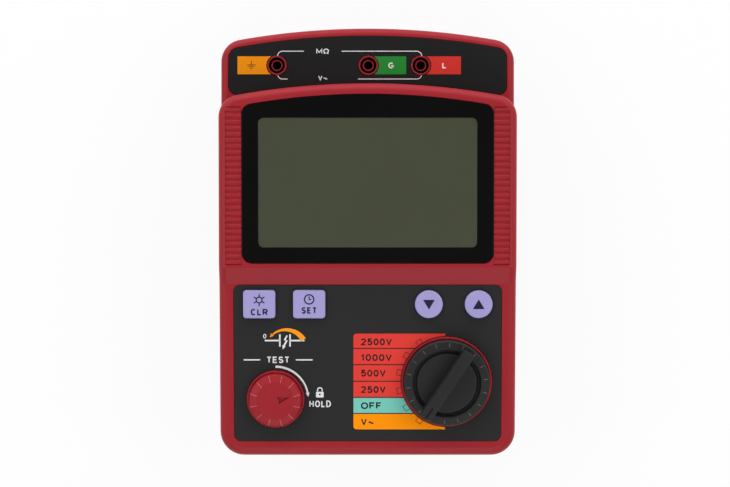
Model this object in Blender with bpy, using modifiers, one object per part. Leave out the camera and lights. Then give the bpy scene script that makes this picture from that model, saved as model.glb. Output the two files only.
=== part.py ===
"""Bench insulation resistance tester, as an assembly that comes apart.

The case lies on its back on four feet. +X is to the right of the panel, +Y runs from the
controls up to the test sockets, and +Z comes out of the front. Lengths are in metres.
"""

import math

import bmesh
import bpy
from mathutils import Matrix, Vector
from mathutils.geometry import interpolate_bezier

# Case, in plan and in side view
BODY_WIDTH = 0.1400
BODY_LENGTH = 0.2034
CONTROL_LENGTH = 0.0816
STEP_RUN = 0.0076
STEP_DROP = 0.0037
TERMINAL_LENGTH = 0.0277
FRONT_EDGE_HEIGHT = 0.0582
TERMINAL_HEIGHT = 0.0570
PARTING_HEIGHT = 0.0300
FOOT_STANDOFF = 0.0020
CONTROL_TILT = math.radians(6.0)
DISPLAY_TILT = math.radians(2.6)
CROWN_RADIUS = 0.3500
UPPER_CORNER = 0.0105
LOWER_CORNER = 0.0115
HOOD_CORNER = 0.0105
HOOD_EDGE = 0.0042
TERMINAL_EDGE = 0.0032
REAR_EDGE = 0.0025
FLANK_STEP = 0.0003
WALL = 0.0026
FACE_WALL = 0.0030
FLOOR = 0.0036

# Fits
CLEARANCE = 0.0003
RUNNING = 0.0003
SINK = 0.0010

# Printed sheets
SHEET = 0.0004
CONTROL_SHEET_SIDE = 0.0070
CONTROL_SHEET_HEAD = 0.0006
CONTROL_SHEET_FOOT = 0.0072
CONTROL_SHEET_CORNER = 0.0032
TERMINAL_RIM = 0.0037
TERMINAL_HOOD_GAP = 0.0012
TERMINAL_SHEET_UPPER_CORNER = 0.0050
TERMINAL_SHEET_LOWER_CORNER = 0.0039

# Display
WINDOW_SIDE = 0.0111
WINDOW_FOOT = 0.0022
WINDOW_HEAD = 0.0052
WINDOW_CORNER = 0.0049
WINDOW_THICKNESS = 0.0015
WINDOW_SUNK = 0.0002
VIEW_SIDE = 0.0077
VIEW_FOOT = 0.0074
VIEW_HEAD = 0.0112
VIEW_CORNER = 0.0024
VIEW_MARGIN = 0.0010
LCD_BORDER = 0.0030
LCD_THICKNESS = 0.0024
BACKLIGHT_THICKNESS = 0.0030
LCD_FRAME_WALL = 0.0016

# Ribbed grips beside the window
GRIP_LENGTH = 0.0069
GRIP_WINDOW_GAP = 0.0007
GRIP_FOOT = 0.0026
GRIP_HEAD = 0.0120
GRIP_PITCH = 0.00286
GRIP_DEPTH = 0.0007
GRIP_HALF_OPENING = 0.00055

# Test sockets
SOCKET_ROW_INSET = 0.0182
SOCKET_PLACES = {"earth": -0.0431, "guard": 0.0003, "line": 0.0252}
SOCKET_RADIUS = 0.00465
SOCKET_LIP = 0.00075
SOCKET_PROUD = 0.0003
SOCKET_WELL = 0.0120
SOCKET_LENGTH = 0.0240
SOCKET_FLANGE = 0.0018
SOCKET_FLANGE_THICKNESS = 0.0015
SLEEVE_RADIUS = 0.0026
SLEEVE_SUNK = 0.0005
PLUG_BORE = 0.0021
CONTACT_WALL = 0.0005
CONTACT_TAIL_RADIUS = 0.0009

# Range switch
KNOB_SIDE_MARGIN = 0.0043
KNOB_FOOT_MARGIN = 0.0070
KNOB_RADIUS = 0.0203
KNOB_RIM = 0.0033
KNOB_GROOVE = 0.0020
KNOB_RIM_HEIGHT = 0.0060
KNOB_RIM_EDGE = 0.0008
KNOB_DISH_HEIGHT = 0.0050
KNOB_BAR_WIDTH = 0.0056
KNOB_BAR_HEIGHT = 0.0130
KNOB_BAR_INSET = 0.0018
KNOB_BAR_EDGE = 0.0009
KNOB_MARK_WIDTH = 0.0010
KNOB_MARK_LENGTH = 0.0060
KNOB_MARK_DEPTH = 0.0005
KNOB_REST = math.radians(236.25)
KNOB_RING = 0.0008
KNOB_RING_HEIGHT = 0.0012
KNOB_WELL = 0.0011
SHAFT_RADIUS = 0.0030
SHAFT_FLAT = 0.0022
SHAFT_ROOF = 0.0012
ROTOR_RADIUS = 0.0130
ROTOR_THICKNESS = 0.0040
DETENT_STEPS = 16
DETENT_RADIUS = 0.0009
DETENT_LEAF = 0.0005
DETENT_LEAF_LENGTH = 0.0160

# Test button
TEST_SIDE_MARGIN = 0.0059
TEST_FOOT_MARGIN = 0.0065
TEST_RADIUS = 0.0124
TEST_TOP_RADIUS = 0.0092
TEST_HEIGHT = 0.0065
TEST_SHOULDER = 0.0023
TEST_ROOF = 0.0022
TEST_SKIRT = 0.0015
TEST_HUB_RADIUS = 0.0050
TEST_STEM_RADIUS = 0.0030
TEST_COLLAR_RADIUS = 0.0045
TEST_COLLAR = 0.0010
TEST_TIP = 0.0012
TEST_TRAVEL = 0.0030
TEST_RING = 0.0009
TEST_RING_HEIGHT = 0.0014
TEST_WELL = 0.0050
TEST_WELL_FLOOR = 0.0020
TEST_POINTER = math.radians(14.4)
TEST_POINTER_SIZE = 0.0024
TEST_POINTER_INSET = 0.0008
TEST_POINTER_DEPTH = 0.0008
SPRING_RADIUS = 0.0079
SPRING_WIRE = 0.0006
SPRING_TURNS = 4
SPRING_POINTS = 12

# Keys
KEY_ROW_INSET = 0.0089
SQUARE_KEY_PLACES = {"light_key": -0.0510, "timer_key": -0.0275}
ROUND_KEY_PLACES = {"down_key": 0.0288, "up_key": 0.0522}
SQUARE_KEY_WIDTH = 0.0152
SQUARE_KEY_LENGTH = 0.0133
SQUARE_KEY_CORNER = 0.0015
ROUND_KEY_RADIUS = 0.00655
KEY_HEIGHT = 0.0016
KEY_EDGE = 0.0006
KEY_FLANGE = 0.0012
KEY_FLANGE_THICKNESS = 0.0010
KEY_STEM_RADIUS = 0.0025
KEY_TRAVEL = 0.0010
MAT_THICKNESS = 0.0010
MAT_DOME_RADIUS = 0.0032
MAT_DOME_HEIGHT = 0.0006
MAT_MARGIN = 0.0012

# Boards and what stands on them
BOARD_THICKNESS = 0.0016
CONTROL_BOARD_DEPTH = 0.0160
CONTROL_BOARD_SIDE = 0.0075
CONTROL_BOARD_HEAD_INSET = 0.0003
CONTROL_BOARD_FOOT_INSET = 0.0092
CONTROL_POST_RADIUS = 0.0030
CONTROL_POST_INSET = 0.0035
CONTROL_POST_ROWS = (0.0120, -0.0210)
TEST_SWITCH_SIZE = 0.0062
BUZZER_PLACE = (-0.0050, -0.0050)
BUZZER_RADIUS = 0.0060
BUZZER_HEIGHT = 0.0055
MAIN_BOARD_SIDE = 0.0200
MAIN_BOARD_HEAD = 0.0107
MAIN_BOARD_FOOT = 0.0027
MAIN_BOARD_HEIGHT = 0.0277
MAIN_POST_RADIUS = 0.0030
MAIN_POST_INSET = 0.0050
TRANSFORMER_SIZE = (0.0300, 0.0260, 0.0240)
TRANSFORMER_PLACE = (-0.0220, 0.0040)
CAPACITOR_RADIUS = 0.0080
CAPACITOR_HEIGHT = 0.0240
CAPACITOR_PLACE = (0.0180, 0.0130)
PROCESSOR_SIZE = (0.0140, 0.0140, 0.0018)
PROCESSOR_PLACE = (0.0100, -0.0270)

# Batteries
CELL_DIAMETER = 0.0145
CELL_LENGTH = 0.0505
CELL_CAP_RADIUS = 0.0026
CELL_CAP_LENGTH = 0.0012
CELL_ROWS = 4
CELL_SPACING = 0.0008
CELL_HEADROOM = 0.0006
STRIP_THICKNESS = 0.0005
STRIP_BUMP = 0.0015
STRIP_BUMP_RADIUS = 0.0040
STRIP_BUMP_TIP = 0.0025
STRIP_MARGIN = 0.0010
TRAY_WALL = 0.0016
LEAD_RADIUS = 0.0008
LEAD_SIDE = 0.0300
COVER_THICKNESS = 0.0016
COVER_EDGE = 0.0020
COVER_INSET = 0.0164
COVER_CORNER = 0.0040
COVER_BOSS_RADIUS = 0.0024
COVER_BOSS_HEIGHT = 0.0120

# Screws and feet
CASE_SCREW_SIDE_INSET = 0.0105
CASE_SCREW_LOWER_INSET = 0.0090
CASE_SCREW_UPPER_INSET = 0.0160
CASE_SCREW_SEAT = 0.0160
CASE_SCREW_LENGTH = 0.0260
CASE_SCREW_HEAD_RADIUS = 0.0034
CASE_BOSS_WALL = 0.0013
COVER_SCREW_LENGTH = 0.0070
COVER_SCREW_HEAD_RADIUS = 0.0018
SCREW_HEAD = 0.0022
COVER_SCREW_HEAD = 0.0009
SHANK_RADIUS = 0.0015
COVER_SHANK_RADIUS = 0.0010
SLOT_WIDTH = 0.0009
SLOT_DEPTH = 0.0010
COVER_SLOT_DEPTH = 0.0004
FOOT_RADIUS = 0.0053
FOOT_SUNK = 0.0012
FOOT_SIDE_INSET = 0.0280
FOOT_LOWER_INSET = 0.0086
FOOT_UPPER_INSET = 0.0136
FOOT_EDGE = 0.0006

# Fineness of round shapes
CORNER_STEPS = 6
CROWN_STEPS = 12
ROUND_STEPS = 20
FINE_STEPS = 32
PLAIN_STEPS = 12
BUMP_STEPS = 8
KEY_CORNER_STEPS = 3
EDGE_SEGMENTS = 3
SHARP_ANGLE = math.radians(50)
FLAT_ANGLE = math.radians(0.1)
MERGE_DISTANCE = 1e-6
OVERSHOOT = 0.0200

# Places worked out from the sizes above
LOWER_END = -BODY_LENGTH / 2
UPPER_END = BODY_LENGTH / 2
STEP_FOOT_Y = LOWER_END + CONTROL_LENGTH
STEP_FOOT_HEIGHT = FRONT_EDGE_HEIGHT + CONTROL_LENGTH * math.tan(CONTROL_TILT)
CREASE_Y = STEP_FOOT_Y + STEP_RUN
CREASE_HEIGHT = STEP_FOOT_HEIGHT + STEP_DROP
HOOD_END = UPPER_END - TERMINAL_LENGTH
CONTROL_SLOPE = CONTROL_LENGTH / math.cos(CONTROL_TILT)
CONTROL_SHEET_WIDTH = BODY_WIDTH - 2 * CONTROL_SHEET_SIDE
CONTROL_SHEET_LENGTH = CONTROL_SLOPE - CONTROL_SHEET_HEAD - CONTROL_SHEET_FOOT
DISPLAY_SLOPE = (HOOD_END - CREASE_Y) / math.cos(DISPLAY_TILT)
WINDOW_WIDTH = BODY_WIDTH - 2 * WINDOW_SIDE
WINDOW_LENGTH = DISPLAY_SLOPE - WINDOW_FOOT - WINDOW_HEAD
VIEW_WIDTH = WINDOW_WIDTH - 2 * VIEW_SIDE
VIEW_LENGTH = WINDOW_LENGTH - VIEW_FOOT - VIEW_HEAD
VIEW_SHIFT = (VIEW_FOOT - VIEW_HEAD) / 2
GRIP_COUNT = 1 + int((DISPLAY_SLOPE - GRIP_FOOT - GRIP_HEAD) / GRIP_PITCH)
KNOB_RING_RADIUS = KNOB_RADIUS + RUNNING + KNOB_RING
KNOB_PLACE = (
    CONTROL_SHEET_WIDTH / 2 - KNOB_SIDE_MARGIN - KNOB_RING_RADIUS,
    KNOB_FOOT_MARGIN + KNOB_RING_RADIUS - CONTROL_SHEET_LENGTH / 2,
)
TEST_RING_RADIUS = TEST_RADIUS + RUNNING + TEST_RING
TEST_PLACE = (
    TEST_SIDE_MARGIN + TEST_RING_RADIUS - CONTROL_SHEET_WIDTH / 2,
    TEST_FOOT_MARGIN + TEST_RING_RADIUS - CONTROL_SHEET_LENGTH / 2,
)
KEY_ROW = CONTROL_SHEET_LENGTH / 2 - KEY_ROW_INSET
CONTROL_BOARD_WIDTH = BODY_WIDTH - 2 * CONTROL_BOARD_SIDE
CONTROL_BOARD_HEAD = CONTROL_SHEET_LENGTH / 2 - CONTROL_BOARD_HEAD_INSET
CONTROL_BOARD_FOOT = CONTROL_BOARD_FOOT_INSET - CONTROL_SHEET_LENGTH / 2
CONTROL_POST_SIDE = CONTROL_BOARD_WIDTH / 2 - CONTROL_POST_INSET
RECESS = SHEET + CLEARANCE
FLOOR_TOP = FOOT_STANDOFF + FLOOR
CELL_PITCH = CELL_DIAMETER + CELL_SPACING
BAY_LENGTH = CELL_LENGTH + 2 * (STRIP_THICKNESS + STRIP_BUMP + 2 * CLEARANCE)
BAY_WIDTH = CELL_ROWS * CELL_PITCH
BAY_CENTRE = (TRAY_WALL + BAY_LENGTH) / 2
CELL_BOTTOM = FLOOR_TOP + CLEARANCE
CELL_HEIGHT = CELL_BOTTOM + CELL_DIAMETER / 2
TRAY_BOTTOM = FLOOR_TOP + CLEARANCE
TRAY_ROOF = CELL_BOTTOM + CELL_DIAMETER + CELL_HEADROOM
TRAY_HALF_WIDTH = BAY_WIDTH / 2 + TRAY_WALL
COVER_SCREW_REACH = TRAY_HALF_WIDTH + CLEARANCE + COVER_BOSS_RADIUS
COVER_LENGTH = 2 * (COVER_SCREW_REACH + COVER_BOSS_RADIUS)
COVER_WIDTH = 2 * (BAY_CENTRE + BAY_LENGTH / 2 + COVER_EDGE)
TRAY_PLACE = LOWER_END + COVER_INSET + COVER_LENGTH / 2
MAIN_BOARD_TOP = MAIN_BOARD_HEIGHT + BOARD_THICKNESS
MAIN_BOARD_WIDTH = BODY_WIDTH - 2 * MAIN_BOARD_SIDE
MAIN_BOARD_UPPER = UPPER_END - MAIN_BOARD_HEAD
MAIN_BOARD_LOWER = TRAY_PLACE + COVER_LENGTH / 2 + MAIN_BOARD_FOOT
MAIN_BOARD_LENGTH = MAIN_BOARD_UPPER - MAIN_BOARD_LOWER
MAIN_BOARD_CENTRE = (MAIN_BOARD_UPPER + MAIN_BOARD_LOWER) / 2
KEY_FLANGE_TOP = -FACE_WALL - CLEARANCE
BOARD_STAND = -CONTROL_BOARD_DEPTH + CLEARANCE
MAT_TOP = BOARD_STAND + MAT_THICKNESS
KEY_STEM_END = MAT_TOP + MAT_DOME_HEIGHT + KEY_TRAVEL + CLEARANCE
TEST_CEILING = TEST_HEIGHT - TEST_ROOF
TEST_SKIRT_END = TEST_TRAVEL + 2 * CLEARANCE - TEST_WELL
TEST_COLLAR_TOP = -TEST_WELL - TEST_WELL_FLOOR - CLEARANCE
TEST_STEM_END = TEST_COLLAR_TOP - TEST_COLLAR - TEST_TIP
ROTOR_TOP = BOARD_STAND + ROTOR_THICKNESS
SHAFT_TOP = KNOB_DISH_HEIGHT - SHAFT_ROOF - CLEARANCE

PARTS = "insulation_resistance_tester"
GUIDES = "cutters"
FRAMES = {}
FINISHES = {}


def clear_scene():
    """Start from an empty scene with one collection for parts and one for cutters."""
    for old in list(bpy.data.objects):
        bpy.data.objects.remove(old, do_unlink=True)
    for name in (PARTS, GUIDES):
        if name not in bpy.data.collections:
            bpy.context.scene.collection.children.link(bpy.data.collections.new(name))


def finish(name, colour, roughness, metallic=0.0):
    """A plain finish with its own colour, kept under its name."""
    made = bpy.data.materials.new(name)
    made.use_nodes = True
    shader = made.node_tree.nodes["Principled BSDF"]
    shader.inputs["Base Color"].default_value = (*colour, 1.0)
    shader.inputs["Roughness"].default_value = roughness
    shader.inputs["Metallic"].default_value = metallic
    made.diffuse_color = (*colour, 1.0)
    FINISHES[name] = made


def frame(name, location, tilt=0.0, parent=None):
    """An empty that carries pieces on one face or one axis."""
    empty = bpy.data.objects.new(f"{name}_frame", None)
    bpy.data.collections[GUIDES].objects.link(empty)
    empty.parent = FRAMES.get(parent)
    empty.location = location
    empty.rotation_euler = (tilt, 0.0, 0.0)
    FRAMES[name] = empty


def part(name, data, carrier, material, place=(0.0, 0.0, 0.0), angle=0.0):
    """One piece of the tester, standing on its carrier."""
    piece = bpy.data.objects.new(name, data)
    bpy.data.collections[PARTS].objects.link(piece)
    piece.parent = FRAMES[carrier]
    piece.location = place
    piece.rotation_euler = (0.0, 0.0, angle)
    data.materials.clear()
    data.materials.append(FINISHES[material])
    return piece


def guide(name, data, carrier, place=(0.0, 0.0, 0.0), angle=0.0):
    """A solid that shapes a piece and isn't one itself."""
    solid = bpy.data.objects.new(name, data)
    bpy.data.collections[GUIDES].objects.link(solid)
    solid.parent = FRAMES[carrier]
    solid.location = place
    solid.rotation_euler = (0.0, 0.0, angle)
    solid.hide_render = True
    solid.display_type = "WIRE"
    return solid


def combine(piece, other, operation):
    """Join, cut or trim a piece by a guide."""
    step = piece.modifiers.new(f"{operation.lower()}_{other.name}", "BOOLEAN")
    step.operation = operation
    step.solver = "EXACT"
    step.object = other
    return piece


def round_edges(piece, width, segments=EDGE_SEGMENTS):
    """Round a piece's sharp edges and leave its faceted curves alone."""
    step = piece.modifiers.new("round_edges", "BEVEL")
    step.width = width
    step.segments = segments
    step.limit_method = "ANGLE"
    step.angle_limit = SHARP_ANGLE
    return piece


def smooth(piece):
    """Shade a round piece smooth and keep its corners sharp."""
    piece.data.shade_smooth()
    piece.data.set_sharp_from_angle(angle=SHARP_ANGLE)


def arc(centre, radius, start, end, steps):
    """Points along an arc, both ends included. Angles are in radians."""
    angles = [start + (end - start) * i / steps for i in range(steps + 1)]
    return [(centre[0] + radius * math.cos(a), centre[1] + radius * math.sin(a)) for a in angles]


def circle(radius, steps=ROUND_STEPS, centre=(0.0, 0.0)):
    """A closed round outline."""
    return arc(centre, radius, 0.0, 2 * math.pi, steps)[:-1]


def rounded_box(width, length, corner, steps=CORNER_STEPS):
    """A rectangle with round corners, about the origin."""
    outline = []
    for quarter, (side, end) in enumerate(((1, 1), (-1, 1), (-1, -1), (1, -1))):
        start = quarter * math.pi / 2
        pivot = (side * (width / 2 - corner), end * (length / 2 - corner))
        outline += arc(pivot, corner, start, start + math.pi / 2, steps)
    return outline


def arched_box(width, bottom, top, crown, corner, foot_corner):
    """An outline with straight sides, a straight foot and an arched top."""
    half = width / 2
    crown_y = top - crown
    pivot_y = crown_y + math.sqrt((crown - corner) ** 2 - (half - corner) ** 2)
    lean = math.atan2(pivot_y - crown_y, half - corner)
    outline = arc((half - corner, pivot_y), corner, 0.0, lean, CORNER_STEPS)
    outline += arc((0.0, crown_y), crown, lean, math.pi - lean, CROWN_STEPS)[1:-1]
    outline += arc((corner - half, pivot_y), corner, math.pi - lean, math.pi, CORNER_STEPS)
    foot = bottom + foot_corner
    outline += arc((foot_corner - half, foot), foot_corner, math.pi, 1.5 * math.pi, CORNER_STEPS)
    outline += arc((half - foot_corner, foot), foot_corner, 1.5 * math.pi, 2 * math.pi, CORNER_STEPS)
    return outline


def arched_band(width, lower, top, crown, lower_corner, corner):
    """An outline between two arched edges of like crown, lower and top at the middle."""
    half = width / 2
    upper = arched_box(width, lower, top, crown, corner, corner)[: 2 * CORNER_STEPS + CROWN_STEPS + 1]
    crown_y = lower - crown
    pivot_y = crown_y + math.sqrt((crown + lower_corner) ** 2 - (half - lower_corner) ** 2)
    lean = math.atan2(pivot_y - crown_y, half - lower_corner)
    left = arc((lower_corner - half, pivot_y), lower_corner, math.pi, 2 * math.pi - lean, CORNER_STEPS)
    foot = arc((0.0, crown_y), crown, math.pi - lean, lean, CROWN_STEPS)[1:-1]
    right = arc((half - lower_corner, pivot_y), lower_corner, math.pi + lean, 2 * math.pi, CORNER_STEPS)
    return upper + left + foot + right


def slab(loops, bottom, top):
    """A mesh of one flat outline, with any holes, between two heights."""
    outline = bpy.data.curves.new("outline", "CURVE")
    outline.dimensions = "2D"
    outline.fill_mode = "BOTH"
    outline.extrude = (top - bottom) / 2
    for loop in loops:
        spline = outline.splines.new("POLY")
        spline.points.add(len(loop) - 1)
        spline.use_cyclic_u = True
        for point, (x, y) in zip(spline.points, loop):
            point.co = (x, y, 0.0, 1.0)
    holder = bpy.data.objects.new("outline", outline)
    bpy.context.scene.collection.objects.link(holder)
    mesh = bpy.data.meshes.new_from_object(holder.evaluated_get(bpy.context.evaluated_depsgraph_get()))
    bpy.data.objects.remove(holder, do_unlink=True)
    bpy.data.curves.remove(outline)
    work = bmesh.new()
    work.from_mesh(mesh)
    bmesh.ops.remove_doubles(work, verts=work.verts, dist=MERGE_DISTANCE)
    bmesh.ops.dissolve_limit(work, angle_limit=FLAT_ANGLE, verts=work.verts, edges=work.edges)
    bmesh.ops.translate(work, verts=work.verts, vec=(0.0, 0.0, (top + bottom) / 2))
    bmesh.ops.recalc_face_normals(work, faces=work.faces)
    work.to_mesh(mesh)
    work.free()
    return mesh


def block(size, bottom=0.0):
    """A box mesh, centred in plan."""
    work = bmesh.new()
    bmesh.ops.create_cube(work, size=1.0)
    bmesh.ops.scale(work, verts=work.verts, vec=size)
    bmesh.ops.translate(work, verts=work.verts, vec=(0.0, 0.0, bottom + size[2] / 2))
    mesh = bpy.data.meshes.new("block")
    work.to_mesh(mesh)
    work.free()
    return mesh


def rod(radius, bottom, top, steps=ROUND_STEPS, tip_radius=None):
    """A round mesh along Z, tapered if the tip has its own radius."""
    work = bmesh.new()
    tip = radius if tip_radius is None else tip_radius
    bmesh.ops.create_cone(
        work, cap_ends=True, segments=steps, radius1=radius, radius2=tip, depth=top - bottom
    )
    bmesh.ops.translate(work, verts=work.verts, vec=(0.0, 0.0, (top + bottom) / 2))
    mesh = bpy.data.meshes.new("rod")
    work.to_mesh(mesh)
    work.free()
    return mesh


def turned_profile(profile, closed=False):
    """A mesh of the (radius, height) line that a turned piece is spun from."""
    mesh = bpy.data.meshes.new("profile")
    edges = [(i, i + 1) for i in range(len(profile) - 1)]
    if closed:
        edges.append((len(profile) - 1, 0))
    mesh.from_pydata([(radius, 0.0, height) for radius, height in profile], edges, [])
    return mesh


def turn(piece, steps=ROUND_STEPS):
    """Turn a piece's profile about its own Z axis."""
    step = piece.modifiers.new("turned", "SCREW")
    step.axis = "Z"
    step.angle = 2 * math.pi
    step.steps = steps
    step.render_steps = steps
    step.use_merge_vertices = True
    step.merge_threshold = MERGE_DISTANCE
    step.use_smooth_shade = True
    return piece


def stand_on_side(mesh):
    """Turn a mesh so that its X runs along +Y, its Y along +Z and its Z along +X."""
    for vertex in mesh.vertices:
        vertex.co = (vertex.co.z, vertex.co.x, vertex.co.y)
    return mesh


def face_height(y):
    """Height of the front face over a point on the middle line of the case."""
    if y > HOOD_END:
        return TERMINAL_HEIGHT
    if y > CREASE_Y:
        return CREASE_HEIGHT + (y - CREASE_Y) * math.tan(DISPLAY_TILT)
    if y > STEP_FOOT_Y:
        return STEP_FOOT_HEIGHT + (y - STEP_FOOT_Y) * STEP_DROP / STEP_RUN
    return FRONT_EDGE_HEIGHT + (y - LOWER_END) * math.tan(CONTROL_TILT)


def case_outline(inset):
    """Plan of the terminal block and of the rear half."""
    side = FLANK_STEP + inset
    return arched_box(
        BODY_WIDTH - 2 * side,
        LOWER_END + side,
        UPPER_END - inset,
        CROWN_RADIUS - inset,
        UPPER_CORNER - inset,
        LOWER_CORNER - inset,
    )


def hood_outline(inset):
    """Plan of the raised part that holds the display and the controls."""
    return arched_box(
        BODY_WIDTH - 2 * inset,
        LOWER_END + inset,
        HOOD_END - inset,
        CROWN_RADIUS - inset,
        HOOD_CORNER - inset,
        LOWER_CORNER - inset,
    )


def side_profile(drop):
    """The stepped wedge seen from the side, its face lowered by the drop."""
    past = OVERSHOOT
    line = [
        (LOWER_END - past, -past),
        (HOOD_END + past, -past),
        (HOOD_END + past, face_height(HOOD_END) + past * math.tan(DISPLAY_TILT) - drop),
        (CREASE_Y, CREASE_HEIGHT - drop),
        (STEP_FOOT_Y, STEP_FOOT_HEIGHT - drop),
        (LOWER_END - past, FRONT_EDGE_HEIGHT - past * math.tan(CONTROL_TILT) - drop),
    ]
    return stand_on_side(slab([line], -BODY_WIDTH / 2 - past, BODY_WIDTH / 2 + past))


def window_outline(gap):
    """Plan of the window in its own face, grown by the gap."""
    half = WINDOW_LENGTH / 2 + gap
    corner = WINDOW_CORNER + gap
    return arched_box(WINDOW_WIDTH + 2 * gap, -half, half, CROWN_RADIUS, corner, corner)


def terminal_sheet_outline(gap):
    """Plan of the printed sheet on the terminal block, about the socket row."""
    row = UPPER_END - SOCKET_ROW_INSET
    side = FLANK_STEP + TERMINAL_RIM - gap
    band = arched_band(
        BODY_WIDTH - 2 * side,
        HOOD_END + TERMINAL_HOOD_GAP - gap,
        UPPER_END - TERMINAL_RIM + gap,
        CROWN_RADIUS,
        TERMINAL_SHEET_LOWER_CORNER + gap,
        TERMINAL_SHEET_UPPER_CORNER + gap,
    )
    return [(x, y - row) for x, y in band]


def control_sheet_outline(gap):
    """Plan of the printed sheet on the control face."""
    corner = CONTROL_SHEET_CORNER + gap
    return rounded_box(CONTROL_SHEET_WIDTH + 2 * gap, CONTROL_SHEET_LENGTH + 2 * gap, corner)


def key_outlines(gap):
    """Every key's outline about its own middle, grown by the gap, with its place."""
    width = SQUARE_KEY_WIDTH + 2 * gap
    length = SQUARE_KEY_LENGTH + 2 * gap
    square = rounded_box(width, length, SQUARE_KEY_CORNER + gap, KEY_CORNER_STEPS)
    found = {name: (square, (x, KEY_ROW)) for name, x in SQUARE_KEY_PLACES.items()}
    for name, x in ROUND_KEY_PLACES.items():
        found[name] = (circle(ROUND_KEY_RADIUS + gap), (x, KEY_ROW))
    return found


def shifted(loop, place):
    """An outline moved to its place."""
    return [(x + place[0], y + place[1]) for x, y in loop]


def flatted(radius, flat, steps=ROUND_STEPS):
    """A round outline with one flat, as on a switch shaft."""
    edge = math.acos(flat / radius)
    return arc((0.0, 0.0), radius, edge, 2 * math.pi - edge, steps)


def case_screw_places():
    """Where the four long screws hold the two halves, in plan."""
    side = BODY_WIDTH / 2 - CASE_SCREW_SIDE_INSET
    rows = (LOWER_END + CASE_SCREW_LOWER_INSET, UPPER_END - CASE_SCREW_UPPER_INSET)
    return [(x, y) for y in rows for x in (-side, side)]


def foot_places():
    """Where the four feet stand, in plan."""
    side = BODY_WIDTH / 2 - FOOT_SIDE_INSET
    rows = (LOWER_END + FOOT_LOWER_INSET, UPPER_END - FOOT_UPPER_INSET)
    return [(x, y) for y in rows for x in (-side, side)]


def cover_screw_places():
    """Where the two short screws hold the battery cover, in plan."""
    return [(0.0, TRAY_PLACE - COVER_SCREW_REACH), (0.0, TRAY_PLACE + COVER_SCREW_REACH)]


def make_frames():
    """The faces and axes that carry the pieces."""
    frame("case", (0.0, 0.0, 0.0))
    middle = CONTROL_SHEET_FOOT + CONTROL_SHEET_LENGTH / 2
    y = LOWER_END + middle * math.cos(CONTROL_TILT)
    height = FRONT_EDGE_HEIGHT + middle * math.sin(CONTROL_TILT)
    frame("control", (0.0, y, height), CONTROL_TILT, "case")
    frame("knob", (*KNOB_PLACE, 0.0), 0.0, "control")
    frame("test", (*TEST_PLACE, 0.0), 0.0, "control")
    middle = WINDOW_FOOT + WINDOW_LENGTH / 2
    y = CREASE_Y + middle * math.cos(DISPLAY_TILT)
    height = CREASE_HEIGHT + middle * math.sin(DISPLAY_TILT)
    frame("display", (0.0, y, height), DISPLAY_TILT, "case")
    frame("terminal", (0.0, UPPER_END - SOCKET_ROW_INSET, TERMINAL_HEIGHT), 0.0, "case")
    frame("tray", (0.0, TRAY_PLACE, 0.0), 0.0, "case")
    frame("main", (0.0, MAIN_BOARD_CENTRE, MAIN_BOARD_HEIGHT), 0.0, "case")


def make_finishes():
    """Every finish on the tester."""
    finish("red", (0.33, 0.026, 0.036), 0.42)
    finish("window", (0.010, 0.011, 0.010), 0.08)
    finish("lcd", (0.063, 0.072, 0.042), 0.25)
    finish("charcoal", (0.028, 0.028, 0.028), 0.45)
    finish("lavender", (0.345, 0.318, 0.585), 0.5)
    finish("black", (0.022, 0.022, 0.022), 0.45)
    finish("rubber", (0.05, 0.05, 0.05), 0.8)
    finish("brass", (0.62, 0.45, 0.16), 0.3, 1.0)
    finish("steel", (0.55, 0.55, 0.56), 0.3, 1.0)
    finish("board", (0.015, 0.11, 0.04), 0.5)
    finish("white", (0.75, 0.75, 0.73), 0.4)
    finish("yellow", (0.75, 0.52, 0.06), 0.5)
    finish("blue", (0.03, 0.07, 0.25), 0.4)
    finish("cell", (0.06, 0.06, 0.065), 0.35)
    finish("lead_red", (0.45, 0.02, 0.02), 0.5)
    finish("lead_black", (0.02, 0.02, 0.02), 0.5)


def front_shell():
    """The hollow front half: hood, terminal block and the space inside them."""
    rough = slab([hood_outline(0.0)], -OVERSHOOT, TERMINAL_HEIGHT + 2 * OVERSHOOT)
    shell = part("front_housing", rough, "case", "red")
    combine(shell, guide("front_profile", side_profile(0.0), "case"), "INTERSECT")
    round_edges(shell, HOOD_EDGE)
    terminal = guide("terminal_block", slab([case_outline(0.0)], 0.0, TERMINAL_HEIGHT), "case")
    combine(shell, round_edges(terminal, TERMINAL_EDGE), "UNION")
    below = block((2 * BODY_WIDTH, 2 * BODY_LENGTH, PARTING_HEIGHT + 2 * OVERSHOOT), -2 * OVERSHOOT)
    combine(shell, guide("below_parting", below, "case"), "DIFFERENCE")
    room = slab([case_outline(WALL)], 0.0, TERMINAL_HEIGHT - FACE_WALL)
    combine(shell, guide("terminal_room", room, "case"), "DIFFERENCE")
    room = guide("hood_room", slab([hood_outline(WALL)], -SINK, TERMINAL_HEIGHT + OVERSHOOT), "case")
    combine(room, guide("room_profile", side_profile(FACE_WALL), "case"), "INTERSECT")
    return combine(shell, room, "DIFFERENCE")


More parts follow.
